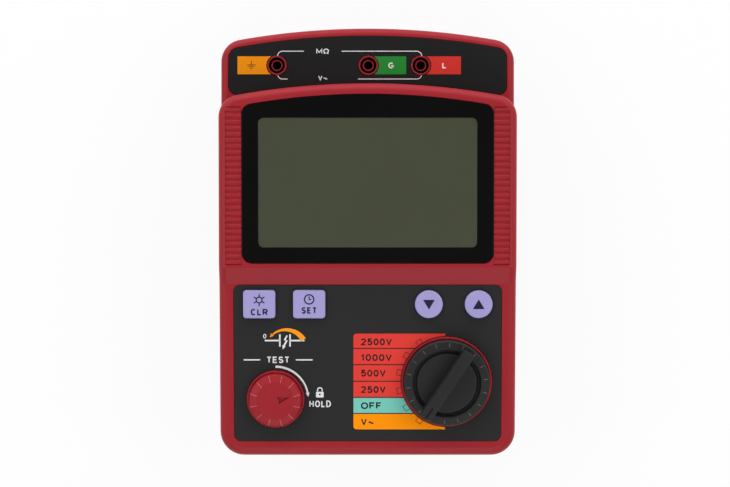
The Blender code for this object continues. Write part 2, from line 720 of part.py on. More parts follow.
def front_openings(shell):
    """The recesses for window and sheets, and the holes for sockets and keys."""
    deep = -FACE_WALL - OVERSHOOT / 4
    ledge = -WINDOW_SUNK - WINDOW_THICKNESS - CLEARANCE
    view = rounded_box(VIEW_WIDTH + 2 * VIEW_MARGIN, VIEW_LENGTH + 2 * VIEW_MARGIN, VIEW_CORNER)
    cuts = {
        "window_recess": ("display", window_outline(CLEARANCE), ledge),
        "view_opening": ("display", shifted(view, (0.0, VIEW_SHIFT)), deep),
        "terminal_recess": ("terminal", terminal_sheet_outline(CLEARANCE), -RECESS),
        "control_recess": ("control", control_sheet_outline(CLEARANCE), -RECESS),
    }
    for name, x in SOCKET_PLACES.items():
        cuts[f"{name}_hole"] = ("terminal", circle(SOCKET_RADIUS + CLEARANCE, centre=(x, 0.0)), deep)
    for name, (outline, place) in key_outlines(CLEARANCE).items():
        cuts[f"{name}_hole"] = ("control", shifted(outline, place), deep)
    for name, (carrier, outline, bottom) in cuts.items():
        combine(shell, guide(name, slab([outline], bottom, OVERSHOOT / 2), carrier), "DIFFERENCE")


def front_rings(shell):
    """The raised rings round the knob and the test button, with their wells and shaft holes."""
    ring = rod(KNOB_RING_RADIUS, -RECESS - SINK, KNOB_RING_HEIGHT, FINE_STEPS)
    combine(shell, guide("knob_ring", ring, "knob"), "UNION")
    well = rod(KNOB_RADIUS + RUNNING, -KNOB_WELL, OVERSHOOT, FINE_STEPS)
    combine(shell, guide("knob_well", well, "knob"), "DIFFERENCE")
    hole = rod(SHAFT_RADIUS + RUNNING, -FACE_WALL - OVERSHOOT / 4, OVERSHOOT)
    combine(shell, guide("shaft_hole", hole, "knob"), "DIFFERENCE")
    cup = rod(TEST_RING_RADIUS, -TEST_WELL - TEST_WELL_FLOOR, TEST_RING_HEIGHT, FINE_STEPS)
    combine(shell, guide("test_cup", cup, "test"), "UNION")
    well = rod(TEST_RADIUS + RUNNING, -TEST_WELL, OVERSHOOT, FINE_STEPS)
    combine(shell, guide("test_well", well, "test"), "DIFFERENCE")
    hole = rod(TEST_STEM_RADIUS + RUNNING, -TEST_WELL - TEST_WELL_FLOOR - OVERSHOOT / 4, OVERSHOOT)
    combine(shell, guide("stem_hole", hole, "test"), "DIFFERENCE")


def front_posts(shell):
    """Posts for the control board and screw bosses down to the parting line."""
    post = rod(CONTROL_POST_RADIUS, BOARD_STAND, -FACE_WALL + SINK, PLAIN_STEPS)
    for row, y in enumerate(CONTROL_POST_ROWS):
        for side in (-1, 1):
            place = (side * CONTROL_POST_SIDE, y, 0.0)
            combine(shell, guide(f"control_post_{row}_{side}", post, "control", place), "UNION")
    boss_radius = SHANK_RADIUS + 2 * CASE_BOSS_WALL
    for number, (x, y) in enumerate(case_screw_places(), 1):
        ceiling = face_height(y) - FACE_WALL + SINK
        boss = rod(boss_radius, PARTING_HEIGHT, ceiling, PLAIN_STEPS)
        combine(shell, guide(f"front_boss_{number}", boss, "case", (x, y, 0.0)), "UNION")
        pilot = rod(SHANK_RADIUS + CLEARANCE, 0.0, CASE_SCREW_SEAT + CASE_SCREW_LENGTH + SINK, PLAIN_STEPS)
        combine(shell, guide(f"pilot_{number}", pilot, "case", (x, y, 0.0)), "DIFFERENCE")


def front_grips(shell):
    """Grooves that leave a ribbed grip on each side of the window."""
    reach = GRIP_HALF_OPENING * (GRIP_DEPTH + SINK) / GRIP_DEPTH
    first = -WINDOW_LENGTH / 2 - WINDOW_FOOT + GRIP_FOOT
    comb = [(first - GRIP_PITCH, 2 * SINK)]
    for number in range(GRIP_COUNT):
        y = first + number * GRIP_PITCH
        comb += [(y - reach, SINK), (y, -GRIP_DEPTH), (y + reach, SINK)]
    comb.append((first + GRIP_COUNT * GRIP_PITCH, 2 * SINK))
    start = WINDOW_WIDTH / 2 + GRIP_WINDOW_GAP
    for side, low in (("left", -start - GRIP_LENGTH), ("right", start)):
        teeth = stand_on_side(slab([comb], low, low + GRIP_LENGTH))
        combine(shell, guide(f"{side}_grip", teeth, "display"), "DIFFERENCE")


def make_front_housing():
    """Red front half of the case."""
    shell = front_shell()
    front_openings(shell)
    front_rings(shell)
    front_posts(shell)
    front_grips(shell)


def make_rear_housing():
    """Rear half of the case, with its battery opening, screw bosses and board posts."""
    top = PARTING_HEIGHT - CLEARANCE
    tub = part("rear_housing", slab([case_outline(0.0)], FOOT_STANDOFF, top + OVERSHOOT), "case", "red")
    round_edges(tub, REAR_EDGE)
    above = block((2 * BODY_WIDTH, 2 * BODY_LENGTH, 2 * OVERSHOOT), top)
    combine(tub, guide("above_parting", above, "case"), "DIFFERENCE")
    room = slab([case_outline(WALL)], FLOOR_TOP, top + OVERSHOOT)
    combine(tub, guide("rear_room", room, "case"), "DIFFERENCE")
    rear_openings(tub)
    rear_posts(tub)


def rear_openings(tub):
    """The battery opening, the ledge that the cover lies on, and the seats of the feet."""
    opening = rounded_box(2 * BAY_CENTRE + BAY_LENGTH, BAY_WIDTH, COVER_CORNER)
    combine(tub, guide("battery_opening", slab([opening], 0.0, FLOOR_TOP + SINK), "tray"), "DIFFERENCE")
    lid = rounded_box(COVER_WIDTH + 2 * CLEARANCE, COVER_LENGTH + 2 * CLEARANCE, COVER_CORNER + CLEARANCE)
    depth = FOOT_STANDOFF + COVER_THICKNESS + CLEARANCE
    combine(tub, guide("cover_recess", slab([lid], 0.0, depth), "tray"), "DIFFERENCE")
    seat = rod(FOOT_RADIUS + CLEARANCE, 0.0, FOOT_STANDOFF + FOOT_SUNK + CLEARANCE)
    for number, (x, y) in enumerate(foot_places(), 1):
        combine(tub, guide(f"foot_seat_{number}", seat, "case", (x, y, 0.0)), "DIFFERENCE")


def rear_posts(tub):
    """Bosses for the case and cover screws, and posts for the main board."""
    head = CASE_SCREW_HEAD_RADIUS + CLEARANCE
    for number, (x, y) in enumerate(case_screw_places(), 1):
        boss = rod(head + CASE_BOSS_WALL, FLOOR_TOP - SINK, PARTING_HEIGHT - CLEARANCE, PLAIN_STEPS)
        combine(tub, guide(f"rear_boss_{number}", boss, "case", (x, y, 0.0)), "UNION")
        bore = rod(head, 0.0, CASE_SCREW_SEAT, PLAIN_STEPS)
        combine(tub, guide(f"head_bore_{number}", bore, "case", (x, y, 0.0)), "DIFFERENCE")
        hole = rod(SHANK_RADIUS + CLEARANCE, 0.0, PARTING_HEIGHT + SINK, PLAIN_STEPS)
        combine(tub, guide(f"shank_hole_{number}", hole, "case", (x, y, 0.0)), "DIFFERENCE")
    for number, (x, y) in enumerate(cover_screw_places(), 1):
        boss = rod(COVER_BOSS_RADIUS, FLOOR_TOP - SINK, COVER_BOSS_HEIGHT, PLAIN_STEPS)
        combine(tub, guide(f"cover_boss_{number}", boss, "case", (x, y, 0.0)), "UNION")
        reach = FOOT_STANDOFF + COVER_SCREW_LENGTH + SINK
        hole = rod(COVER_SHANK_RADIUS + CLEARANCE, 0.0, reach, PLAIN_STEPS)
        combine(tub, guide(f"cover_pilot_{number}", hole, "case", (x, y, 0.0)), "DIFFERENCE")
    post = rod(MAIN_POST_RADIUS, FLOOR_TOP - SINK, MAIN_BOARD_HEIGHT - CLEARANCE, PLAIN_STEPS)
    side = MAIN_BOARD_WIDTH / 2 - MAIN_POST_INSET
    end = MAIN_BOARD_LENGTH / 2 - MAIN_POST_INSET
    for number, (x, y) in enumerate(((-side, -end), (side, -end), (-side, end), (side, end)), 1):
        place = (x, MAIN_BOARD_CENTRE + y, 0.0)
        combine(tub, guide(f"main_post_{number}", post, "case", place), "UNION")


def make_battery_cover():
    """Screwed lid under the batteries, flush with the rear half."""
    bottom = FOOT_STANDOFF
    outline = rounded_box(COVER_WIDTH, COVER_LENGTH, COVER_CORNER)
    lid = part("battery_cover", slab([outline], bottom, bottom + COVER_THICKNESS), "tray", "red")
    for number, (x, y) in enumerate(cover_screw_places(), 1):
        place = (x, y, bottom)
        hole = rod(COVER_SHANK_RADIUS + CLEARANCE, -SINK, COVER_THICKNESS + SINK, PLAIN_STEPS)
        combine(lid, guide(f"lid_hole_{number}", hole, "case", place), "DIFFERENCE")
        bore = rod(COVER_SCREW_HEAD_RADIUS + CLEARANCE, -SINK, COVER_SCREW_HEAD + CLEARANCE, PLAIN_STEPS)
        combine(lid, guide(f"lid_bore_{number}", bore, "case", place), "DIFFERENCE")


def screw(name, place, head_radius, head, shank_radius, length, slot_depth):
    """A slotted screw whose head faces down, with its seat at the given place."""
    line = [(0.0, length), (shank_radius, length), (shank_radius, 0.0)]
    line += [(head_radius, 0.0), (head_radius, -head), (0.0, -head)]
    body = turn(part(name, turned_profile(line), "case", "steel", place), PLAIN_STEPS)
    cut = block((3 * head_radius, SLOT_WIDTH, head), -2 * head + slot_depth)
    combine(body, guide(f"{name}_slot", cut, "case", place), "DIFFERENCE")


def make_screws():
    """Four long case screws and two short cover screws, all driven from behind."""
    for number, (x, y) in enumerate(case_screw_places(), 1):
        place = (x, y, CASE_SCREW_SEAT - CLEARANCE)
        screw(
            f"case_screw_{number}", place, CASE_SCREW_HEAD_RADIUS, SCREW_HEAD,
            SHANK_RADIUS, CASE_SCREW_LENGTH, SLOT_DEPTH,
        )
    for number, (x, y) in enumerate(cover_screw_places(), 1):
        place = (x, y, FOOT_STANDOFF + COVER_SCREW_HEAD)
        screw(
            f"cover_screw_{number}", place, COVER_SCREW_HEAD_RADIUS, COVER_SCREW_HEAD,
            COVER_SHANK_RADIUS, COVER_SCREW_LENGTH - COVER_SCREW_HEAD, COVER_SLOT_DEPTH,
        )


def make_feet():
    """Four round rubber feet let into the rear half."""
    top = FOOT_STANDOFF + FOOT_SUNK
    line = [(0.0, top), (FOOT_RADIUS, top), (FOOT_RADIUS, FOOT_EDGE)]
    line += [(FOOT_RADIUS - FOOT_EDGE, 0.0), (0.0, 0.0)]
    for number, (x, y) in enumerate(foot_places(), 1):
        turn(part(f"foot_{number}", turned_profile(line), "case", "rubber", (x, y, 0.0)))


def make_display():
    """Window, liquid-crystal panel, backlight and the tray that holds them to the case."""
    top = -WINDOW_SUNK
    part("display_window", slab([window_outline(0.0)], top - WINDOW_THICKNESS, top), "display", "window")
    place = (0.0, VIEW_SHIFT, 0.0)
    width = VIEW_WIDTH + 2 * LCD_BORDER
    length = VIEW_LENGTH + 2 * LCD_BORDER
    top = -FACE_WALL - CLEARANCE
    lcd_bottom = top - LCD_THICKNESS
    part("lcd_panel", block((width, length, LCD_THICKNESS), lcd_bottom), "display", "lcd", place)
    light_bottom = lcd_bottom - CLEARANCE - BACKLIGHT_THICKNESS
    light = block((width, length, BACKLIGHT_THICKNESS), light_bottom)
    part("backlight_plate", light, "display", "white", place)
    floor_top = light_bottom - CLEARANCE
    grow = 2 * (CLEARANCE + LCD_FRAME_WALL)
    bottom = floor_top - LCD_FRAME_WALL
    holder = part(
        "lcd_frame", block((width + grow, length + grow, top - bottom), bottom), "display", "black", place
    )
    pocket = block((width + 2 * CLEARANCE, length + 2 * CLEARANCE, OVERSHOOT), floor_top)
    combine(holder, guide("lcd_pocket", pocket, "display", place), "DIFFERENCE")


def make_sheets():
    """The two printed sheets, with holes for all that comes through them."""
    holes = [shifted(outline, place) for outline, place in key_outlines(CLEARANCE).values()]
    holes.append(circle(KNOB_RING_RADIUS + CLEARANCE, FINE_STEPS, KNOB_PLACE))
    holes.append(circle(TEST_RING_RADIUS + CLEARANCE, FINE_STEPS, TEST_PLACE))
    sheet = slab([control_sheet_outline(0.0), *holes], -SHEET, 0.0)
    part("control_overlay", sheet, "control", "charcoal")
    holes = [circle(SOCKET_RADIUS + CLEARANCE, centre=(x, 0.0)) for x in SOCKET_PLACES.values()]
    sheet = slab([terminal_sheet_outline(0.0), *holes], -SHEET, 0.0)
    part("terminal_overlay", sheet, "terminal", "charcoal")


def make_sockets():
    """Three shrouded test sockets and the brass contacts behind their sleeves."""
    flange_top = -FACE_WALL - CLEARANCE
    flange_bottom = flange_top - SOCKET_FLANGE_THICKNESS
    contact_bore = PLUG_BORE + CONTACT_WALL + CLEARANCE
    seat = -SOCKET_WELL - SINK
    shroud = [
        (SOCKET_RADIUS, SOCKET_PROUD),
        (SOCKET_RADIUS, flange_top),
        (SOCKET_RADIUS + SOCKET_FLANGE, flange_top),
        (SOCKET_RADIUS + SOCKET_FLANGE, flange_bottom),
        (SOCKET_RADIUS, flange_bottom),
        (SOCKET_RADIUS, -SOCKET_LENGTH),
        (contact_bore, -SOCKET_LENGTH),
        (contact_bore, seat),
        (PLUG_BORE, seat),
        (PLUG_BORE, -SLEEVE_SUNK),
        (SLEEVE_RADIUS, -SLEEVE_SUNK),
        (SLEEVE_RADIUS, -SOCKET_WELL),
        (SOCKET_RADIUS - SOCKET_LIP, -SOCKET_WELL),
        (SOCKET_RADIUS - SOCKET_LIP, SOCKET_PROUD),
    ]
    tail_end = MAIN_BOARD_TOP + CLEARANCE - TERMINAL_HEIGHT
    contact_top = seat - CLEARANCE
    contact = [
        (0.0, -SOCKET_LENGTH + SINK),
        (PLUG_BORE, -SOCKET_LENGTH + SINK),
        (PLUG_BORE, contact_top),
        (PLUG_BORE + CONTACT_WALL, contact_top),
        (PLUG_BORE + CONTACT_WALL, -SOCKET_LENGTH),
        (CONTACT_TAIL_RADIUS, -SOCKET_LENGTH),
        (CONTACT_TAIL_RADIUS, tail_end),
        (0.0, tail_end),
    ]
    for name, x in SOCKET_PLACES.items():
        place = (x, 0.0, 0.0)
        turn(part(f"{name}_socket", turned_profile(shroud, True), "terminal", "red", place))
        turn(part(f"{name}_contact", turned_profile(contact), "terminal", "brass", place), PLAIN_STEPS)


def make_knob():
    """Range knob: a rimmed disc with a raised bar whose marked end points at the range."""
    groove = KNOB_RADIUS - KNOB_RIM
    dish = groove - KNOB_GROOVE
    bottom = -KNOB_WELL + 2 * CLEARANCE
    line = [
        (0.0, KNOB_DISH_HEIGHT),
        (dish, KNOB_DISH_HEIGHT),
        (dish, KNOB_DISH_HEIGHT - SINK),
        (groove, KNOB_DISH_HEIGHT - SINK),
        (groove, KNOB_RIM_HEIGHT),
        (KNOB_RADIUS - KNOB_RIM_EDGE, KNOB_RIM_HEIGHT),
        (KNOB_RADIUS, KNOB_RIM_HEIGHT - KNOB_RIM_EDGE),
        (KNOB_RADIUS, bottom),
        (0.0, bottom),
    ]
    knob = part("range_knob", turned_profile(line), "knob", "black", angle=KNOB_REST)
    turn(knob, FINE_STEPS)
    bar_length = 2 * (KNOB_RADIUS - KNOB_BAR_INSET)
    ridge = block((bar_length, KNOB_BAR_WIDTH, KNOB_BAR_HEIGHT - SINK), SINK)
    bar = guide("knob_bar", ridge, "knob", angle=KNOB_REST)
    combine(knob, round_edges(bar, KNOB_BAR_EDGE, 2), "UNION")
    mark = block((KNOB_MARK_LENGTH, KNOB_MARK_WIDTH, OVERSHOOT), KNOB_BAR_HEIGHT - KNOB_MARK_DEPTH)
    mark.transform(Matrix.Translation((bar_length / 2 - KNOB_MARK_LENGTH, 0.0, 0.0)))
    combine(knob, guide("knob_mark", mark, "knob", angle=KNOB_REST), "DIFFERENCE")
    fit = flatted(SHAFT_RADIUS + CLEARANCE, SHAFT_FLAT + CLEARANCE)
    bore = slab([fit], -OVERSHOOT, SHAFT_TOP + CLEARANCE)
    combine(knob, guide("knob_bore", bore, "knob", angle=KNOB_REST), "DIFFERENCE")


def make_range_switch():
    """Shaft, notched rotor and the leaf that clicks in its notches."""
    shaft = slab([flatted(SHAFT_RADIUS, SHAFT_FLAT)], BOARD_STAND, SHAFT_TOP)
    smooth(part("knob_shaft", shaft, "knob", "steel", angle=KNOB_REST))
    rim = []
    half = DETENT_RADIUS / ROTOR_RADIUS
    deep = ROTOR_RADIUS - DETENT_RADIUS
    for number in range(DETENT_STEPS):
        notch = 2 * math.pi * number / DETENT_STEPS - KNOB_REST
        rim.append((deep * math.cos(notch), deep * math.sin(notch)))
        last = notch + 2 * math.pi / DETENT_STEPS - half
        rim += arc((0.0, 0.0), ROTOR_RADIUS, notch + half, last, 2)
    bore = flatted(SHAFT_RADIUS + CLEARANCE, SHAFT_FLAT + CLEARANCE)
    rotor = slab([rim, bore], BOARD_STAND, ROTOR_TOP)
    part("switch_rotor", rotor, "knob", "white", angle=KNOB_REST)
    tip = ROTOR_RADIUS + CLEARANCE
    back = tip + DETENT_RADIUS + DETENT_LEAF
    half = DETENT_LEAF_LENGTH / 2
    leaf = [(back, half), (back - DETENT_LEAF, half)]
    leaf += arc((back - DETENT_LEAF, 0.0), DETENT_RADIUS, math.pi / 2, 1.5 * math.pi, CORNER_STEPS)
    leaf += [(back - DETENT_LEAF, -half), (back, -half)]
    part("detent_spring", slab([leaf], BOARD_STAND, ROTOR_TOP), "knob", "steel")


def make_test_button():
    """Test button: a cap that turns on a sprung plunger over its switch."""
    bore = TEST_STEM_RADIUS + RUNNING
    skirt_inside = TEST_RADIUS - TEST_SKIRT
    line = [
        (0.0, TEST_HEIGHT),
        (TEST_TOP_RADIUS, TEST_HEIGHT),
        (TEST_RADIUS, TEST_HEIGHT - TEST_SHOULDER),
        (TEST_RADIUS, TEST_SKIRT_END),
        (skirt_inside, TEST_SKIRT_END),
        (skirt_inside, TEST_CEILING),
        (TEST_HUB_RADIUS, TEST_CEILING),
        (TEST_HUB_RADIUS, TEST_SKIRT_END),
        (bore, TEST_SKIRT_END),
        (bore, TEST_CEILING),
        (0.0, TEST_CEILING),
    ]
    cap = turn(part("test_cap", turned_profile(line), "test", "red"), FINE_STEPS)
    tip = TEST_TOP_RADIUS - TEST_POINTER_INSET
    triangle = [
        (tip, 0.0),
        (tip - TEST_POINTER_SIZE, TEST_POINTER_SIZE / 2),
        (tip - TEST_POINTER_SIZE, -TEST_POINTER_SIZE / 2),
    ]
    notch = slab([triangle], TEST_HEIGHT - TEST_POINTER_DEPTH, TEST_HEIGHT + SINK)
    combine(cap, guide("test_pointer", notch, "test", angle=TEST_POINTER), "DIFFERENCE")
    line = [
        (0.0, TEST_CEILING - CLEARANCE),
        (TEST_STEM_RADIUS, TEST_CEILING - CLEARANCE),
        (TEST_STEM_RADIUS, TEST_COLLAR_TOP),
        (TEST_COLLAR_RADIUS, TEST_COLLAR_TOP),
        (TEST_COLLAR_RADIUS, TEST_COLLAR_TOP - TEST_COLLAR),
        (TEST_STEM_RADIUS, TEST_COLLAR_TOP - TEST_COLLAR),
        (TEST_STEM_RADIUS, TEST_STEM_END),
        (0.0, TEST_STEM_END),
    ]
    turn(part("test_plunger", turned_profile(line), "test", "black"))
    height = TEST_STEM_END - TEST_TRAVEL - CLEARANCE - BOARD_STAND
    part("test_switch", block((TEST_SWITCH_SIZE, TEST_SWITCH_SIZE, height), BOARD_STAND), "test", "black")
    make_test_spring()


def make_test_spring():
    """Return spring between the cap and the floor of its well."""
    low = -TEST_WELL + CLEARANCE + SPRING_WIRE
    high = TEST_CEILING - CLEARANCE - SPRING_WIRE
    count = SPRING_TURNS * SPRING_POINTS
    points = []
    for number in range(count + 1):
        coil = 2 * math.pi * number / SPRING_POINTS
        height = low + (high - low) * number / count
        points.append(Vector((SPRING_RADIUS * math.cos(coil), SPRING_RADIUS * math.sin(coil), height)))
    part("test_spring", tube(points, SPRING_WIRE, 1), "test", "steel")
    gap = min(
        (points[i] - points[j]).length - 2 * SPRING_WIRE
        for i in range(count + 1)
        for j in range(i + SPRING_POINTS // 2, count + 1)
    )
    print(f"test_spring least gap to itself {gap * 1000:.2f} mm")


def tube(points, radius, resolution):
    """A round wire through the points, with filled ends."""
    wire = bpy.data.curves.new("wire", "CURVE")
    wire.dimensions = "3D"
    wire.bevel_depth = radius
    wire.bevel_resolution = resolution
    wire.use_fill_caps = True
    spline = wire.splines.new("POLY")
    spline.points.add(len(points) - 1)
    for point, place in zip(spline.points, points):
        point.co = (*place, 1.0)
    return wire


def make_keys():
    """Four keys that pass through the face, each with a flange and a stem to the mat."""
    for name, (outline, (x, y)) in key_outlines(0.0).items():
        place = (x, y, 0.0)
        cap = slab([outline], KEY_FLANGE_TOP - KEY_FLANGE_THICKNESS / 2, KEY_HEIGHT)
        key = part(name, cap, "control", "lavender", place)
        round_edges(key, KEY_EDGE, 2)
        lip = key_outlines(KEY_FLANGE)[name][0]
        flange = slab([lip], KEY_FLANGE_TOP - KEY_FLANGE_THICKNESS, KEY_FLANGE_TOP)
        combine(key, guide(f"{name}_flange", flange, "control", place), "UNION")
        stem = rod(KEY_STEM_RADIUS, KEY_STEM_END, KEY_FLANGE_TOP - KEY_FLANGE_THICKNESS / 4, PLAIN_STEPS)
        combine(key, guide(f"{name}_stem", stem, "control", place), "UNION")


def make_keypad_mat():
    """Rubber mat on the control board with a dome under each key."""
    length = 2 * (CONTROL_BOARD_HEAD - KEY_ROW - MAT_MARGIN)
    size = (CONTROL_BOARD_WIDTH - 2 * MAT_MARGIN, length, MAT_THICKNESS)
    mat = part("keypad_mat", block(size, BOARD_STAND), "control", "rubber", (0.0, KEY_ROW, 0.0))
    root = MAT_TOP - MAT_THICKNESS / 2
    dome = rod(MAT_DOME_RADIUS, root, MAT_TOP + MAT_DOME_HEIGHT, PLAIN_STEPS, KEY_STEM_RADIUS)
    for name, (_, place) in key_outlines(0.0).items():
        combine(mat, guide(f"{name}_dome", dome, "control", (*place, 0.0)), "UNION")


def make_boards():
    """Control board under the panel and main board in the rear half, with what stands on them."""
    middle = (CONTROL_BOARD_HEAD + CONTROL_BOARD_FOOT) / 2
    size = (CONTROL_BOARD_WIDTH, CONTROL_BOARD_HEAD - CONTROL_BOARD_FOOT, BOARD_THICKNESS)
    bottom = -CONTROL_BOARD_DEPTH - BOARD_THICKNESS
    part("control_board", block(size, bottom), "control", "board", (0.0, middle, 0.0))
    horn = rod(BUZZER_RADIUS, BOARD_STAND, BOARD_STAND + BUZZER_HEIGHT)
    smooth(part("buzzer", horn, "control", "black", (*BUZZER_PLACE, 0.0)))
    size = (MAIN_BOARD_WIDTH, MAIN_BOARD_LENGTH, BOARD_THICKNESS)
    part("main_board", block(size), "main", "board")
    stand = BOARD_THICKNESS + CLEARANCE
    core = block(TRANSFORMER_SIZE, stand)
    round_edges(part("hv_transformer", core, "main", "yellow", (*TRANSFORMER_PLACE, 0.0)), SINK, 1)
    can = rod(CAPACITOR_RADIUS, stand, stand + CAPACITOR_HEIGHT)
    smooth(part("hv_capacitor", can, "main", "blue", (*CAPACITOR_PLACE, 0.0)))
    part("processor", block(PROCESSOR_SIZE, stand), "main", "black", (*PROCESSOR_PLACE, 0.0))


def make_battery_tray():
    """Tray open to the cover, with one bay of cells on each side of its middle wall."""
    size = (
        2 * (BAY_CENTRE + BAY_LENGTH / 2 + TRAY_WALL),
        2 * TRAY_HALF_WIDTH,
        TRAY_ROOF + TRAY_WALL - TRAY_BOTTOM,
    )
    shell = part("battery_tray", block(size, TRAY_BOTTOM), "tray", "black")
    bay = block((BAY_LENGTH, BAY_WIDTH, TRAY_ROOF), 0.0)
    for side in (-1, 1):
        combine(shell, guide(f"bay_{side}", bay, "tray", (side * BAY_CENTRE, 0.0, 0.0)), "DIFFERENCE")


def make_cells():
    """Eight round cells in two bays, turned end for end from row to row."""
    half = CELL_LENGTH / 2
    radius = CELL_DIAMETER / 2
    edge = CELL_CAP_LENGTH / 2
    line = [
        (0.0, half),
        (CELL_CAP_RADIUS, half),
        (CELL_CAP_RADIUS, half - CELL_CAP_LENGTH),
        (radius - edge, half - CELL_CAP_LENGTH),
        (radius, half - CELL_CAP_LENGTH - edge),
        (radius, edge - half),
        (radius - edge, -half),
        (0.0, -half),
    ]
    number = 0
    for side in (-1, 1):
        for row in range(CELL_ROWS):
            number += 1
            y = (row - (CELL_ROWS - 1) / 2) * CELL_PITCH
            cell = part(
                f"cell_{number}", turned_profile(line), "tray", "cell",
                (side * BAY_CENTRE, y, CELL_HEIGHT),
            )
            cell.rotation_euler = (0.0, math.pi / 2 if row % 2 else -math.pi / 2, 0.0)
            turn(cell, PLAIN_STEPS)


def make_contact_strips():
    """A sprung metal strip at each end of each bay, with a bump for every cell."""
    height = TRAY_ROOF - TRAY_BOTTOM - 2 * STRIP_MARGIN
    width = BAY_WIDTH - 2 * STRIP_MARGIN
    reach = STRIP_THICKNESS / 2 + STRIP_BUMP
    bump = rod(STRIP_BUMP_RADIUS, 0.0, reach, BUMP_STEPS, STRIP_BUMP_TIP)
    number = 0
    for side in (-1, 1):
        for end in (-1, 1):
            number += 1
            wall = side * BAY_CENTRE + end * (BAY_LENGTH / 2 - CLEARANCE)
            middle = wall - end * STRIP_THICKNESS / 2
            plate = block((STRIP_THICKNESS, width, height), TRAY_BOTTOM + STRIP_MARGIN)
            strip = part(f"contact_strip_{number}", plate, "tray", "steel", (middle, 0.0, 0.0))
            for row in range(CELL_ROWS):
                y = (row - (CELL_ROWS - 1) / 2) * CELL_PITCH
                cone = guide(f"bump_{number}_{row}", bump, "tray", (middle, y, CELL_HEIGHT))
                cone.rotation_euler = (0.0, -end * math.pi / 2, 0.0)
                combine(strip, cone, "UNION")


def make_leads():
    """The two leads from the battery tray up to the main board."""
    wall = TRAY_PLACE + TRAY_HALF_WIDTH + CLEARANCE
    board = MAIN_BOARD_LOWER + MAIN_POST_INSET
    top = MAIN_BOARD_HEIGHT - CLEARANCE
    for name, colour, x in (
        ("battery_lead_positive", "lead_red", LEAD_SIDE),
        ("battery_lead_negative", "lead_black", -LEAD_SIDE),
    ):
        start = Vector((x, wall, CELL_HEIGHT))
        end = Vector((x, board, top))
        points = interpolate_bezier(
            start, Vector((x, board, CELL_HEIGHT)), Vector((x, board, CELL_HEIGHT)), end, CORNER_STEPS + 2
        )
        part(name, tube(points, LEAD_RADIUS, 2), "case", colour)


def main():
    """Build the whole tester."""
    clear_scene()
    make_frames()
    make_finishes()
    make_front_housing()
    make_rear_housing()
    make_battery_cover()
    make_screws()
    make_feet()
    make_display()
    make_sheets()
    make_sockets()
    make_knob()
    make_range_switch()
    make_test_button()
    make_keys()
    make_keypad_mat()
    make_boards()
    make_battery_tray()
    make_cells()
    make_contact_strips()
    make_leads()


main()
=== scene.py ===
"""Looks of an insulation resistance tester, built round its packed frame.

Each operator makes one piece or one group of like pieces, and the panel in the sidebar lists them.
Lengths are metres in the frame's own axes: +X right, +Y towards the sockets, +Z out of the front.
"""

import math

import bmesh
import bpy
from mathutils import Matrix, Vector


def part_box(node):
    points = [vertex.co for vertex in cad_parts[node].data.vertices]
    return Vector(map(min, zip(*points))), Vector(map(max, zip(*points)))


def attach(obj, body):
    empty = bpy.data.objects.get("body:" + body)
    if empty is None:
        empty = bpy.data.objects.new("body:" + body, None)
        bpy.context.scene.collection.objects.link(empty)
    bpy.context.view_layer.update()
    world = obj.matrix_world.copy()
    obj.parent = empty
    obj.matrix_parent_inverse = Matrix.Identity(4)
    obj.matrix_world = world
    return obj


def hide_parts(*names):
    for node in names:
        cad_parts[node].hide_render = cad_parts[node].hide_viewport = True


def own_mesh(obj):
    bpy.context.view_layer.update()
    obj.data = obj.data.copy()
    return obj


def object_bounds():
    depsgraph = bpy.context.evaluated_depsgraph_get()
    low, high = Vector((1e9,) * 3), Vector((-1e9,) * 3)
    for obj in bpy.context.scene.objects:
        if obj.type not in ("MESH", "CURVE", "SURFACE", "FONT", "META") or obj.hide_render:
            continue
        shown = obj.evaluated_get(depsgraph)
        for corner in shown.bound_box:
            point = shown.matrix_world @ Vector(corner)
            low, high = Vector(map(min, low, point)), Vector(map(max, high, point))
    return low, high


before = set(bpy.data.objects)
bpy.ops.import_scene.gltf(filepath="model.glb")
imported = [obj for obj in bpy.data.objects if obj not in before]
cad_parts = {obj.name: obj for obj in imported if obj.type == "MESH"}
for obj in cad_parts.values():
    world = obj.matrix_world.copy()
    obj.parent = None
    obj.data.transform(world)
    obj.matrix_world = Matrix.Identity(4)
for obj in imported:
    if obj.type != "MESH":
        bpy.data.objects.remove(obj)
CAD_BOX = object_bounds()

bl_info = {
    "name": "Insulation tester looks",
    "version": (1, 0, 0),
    "blender": (4, 5, 0),
    "location": "View3D > Sidebar > Tester",
    "description": "Builds the visible pieces of an insulation resistance tester round its frame",
    "category": "Object",
}

# Sizes of the case, most of them the frame's own
LOWER_END = -0.1017
UPPER_END = 0.1013
STEP_FOOT = (-0.0201, 0.066777)
CREASE = (-0.0125, 0.070477)
HOOD_END = 0.0740
FRONT_EDGE_HEIGHT = 0.0582
TERMINAL_HEIGHT = 0.0570
PARTING_HEIGHT = 0.0300
REAR_TOP = 0.0297
STANDOFF = 0.0020
FLOOR_TOP = 0.0056
CONTROL_TILT = 6.0
DISPLAY_TILT = 2.6
HOOD_CORNER = 0.0105
UPPER_CORNER = 0.0105
LOWER_CORNER = 0.0115
FLANK_STEP = 0.0003
WALL = 0.0026
FACE_WALL = 0.0030
FIT = 0.0003
SHEET = 0.0004
RECESS = 0.0007
PAST = 0.0200

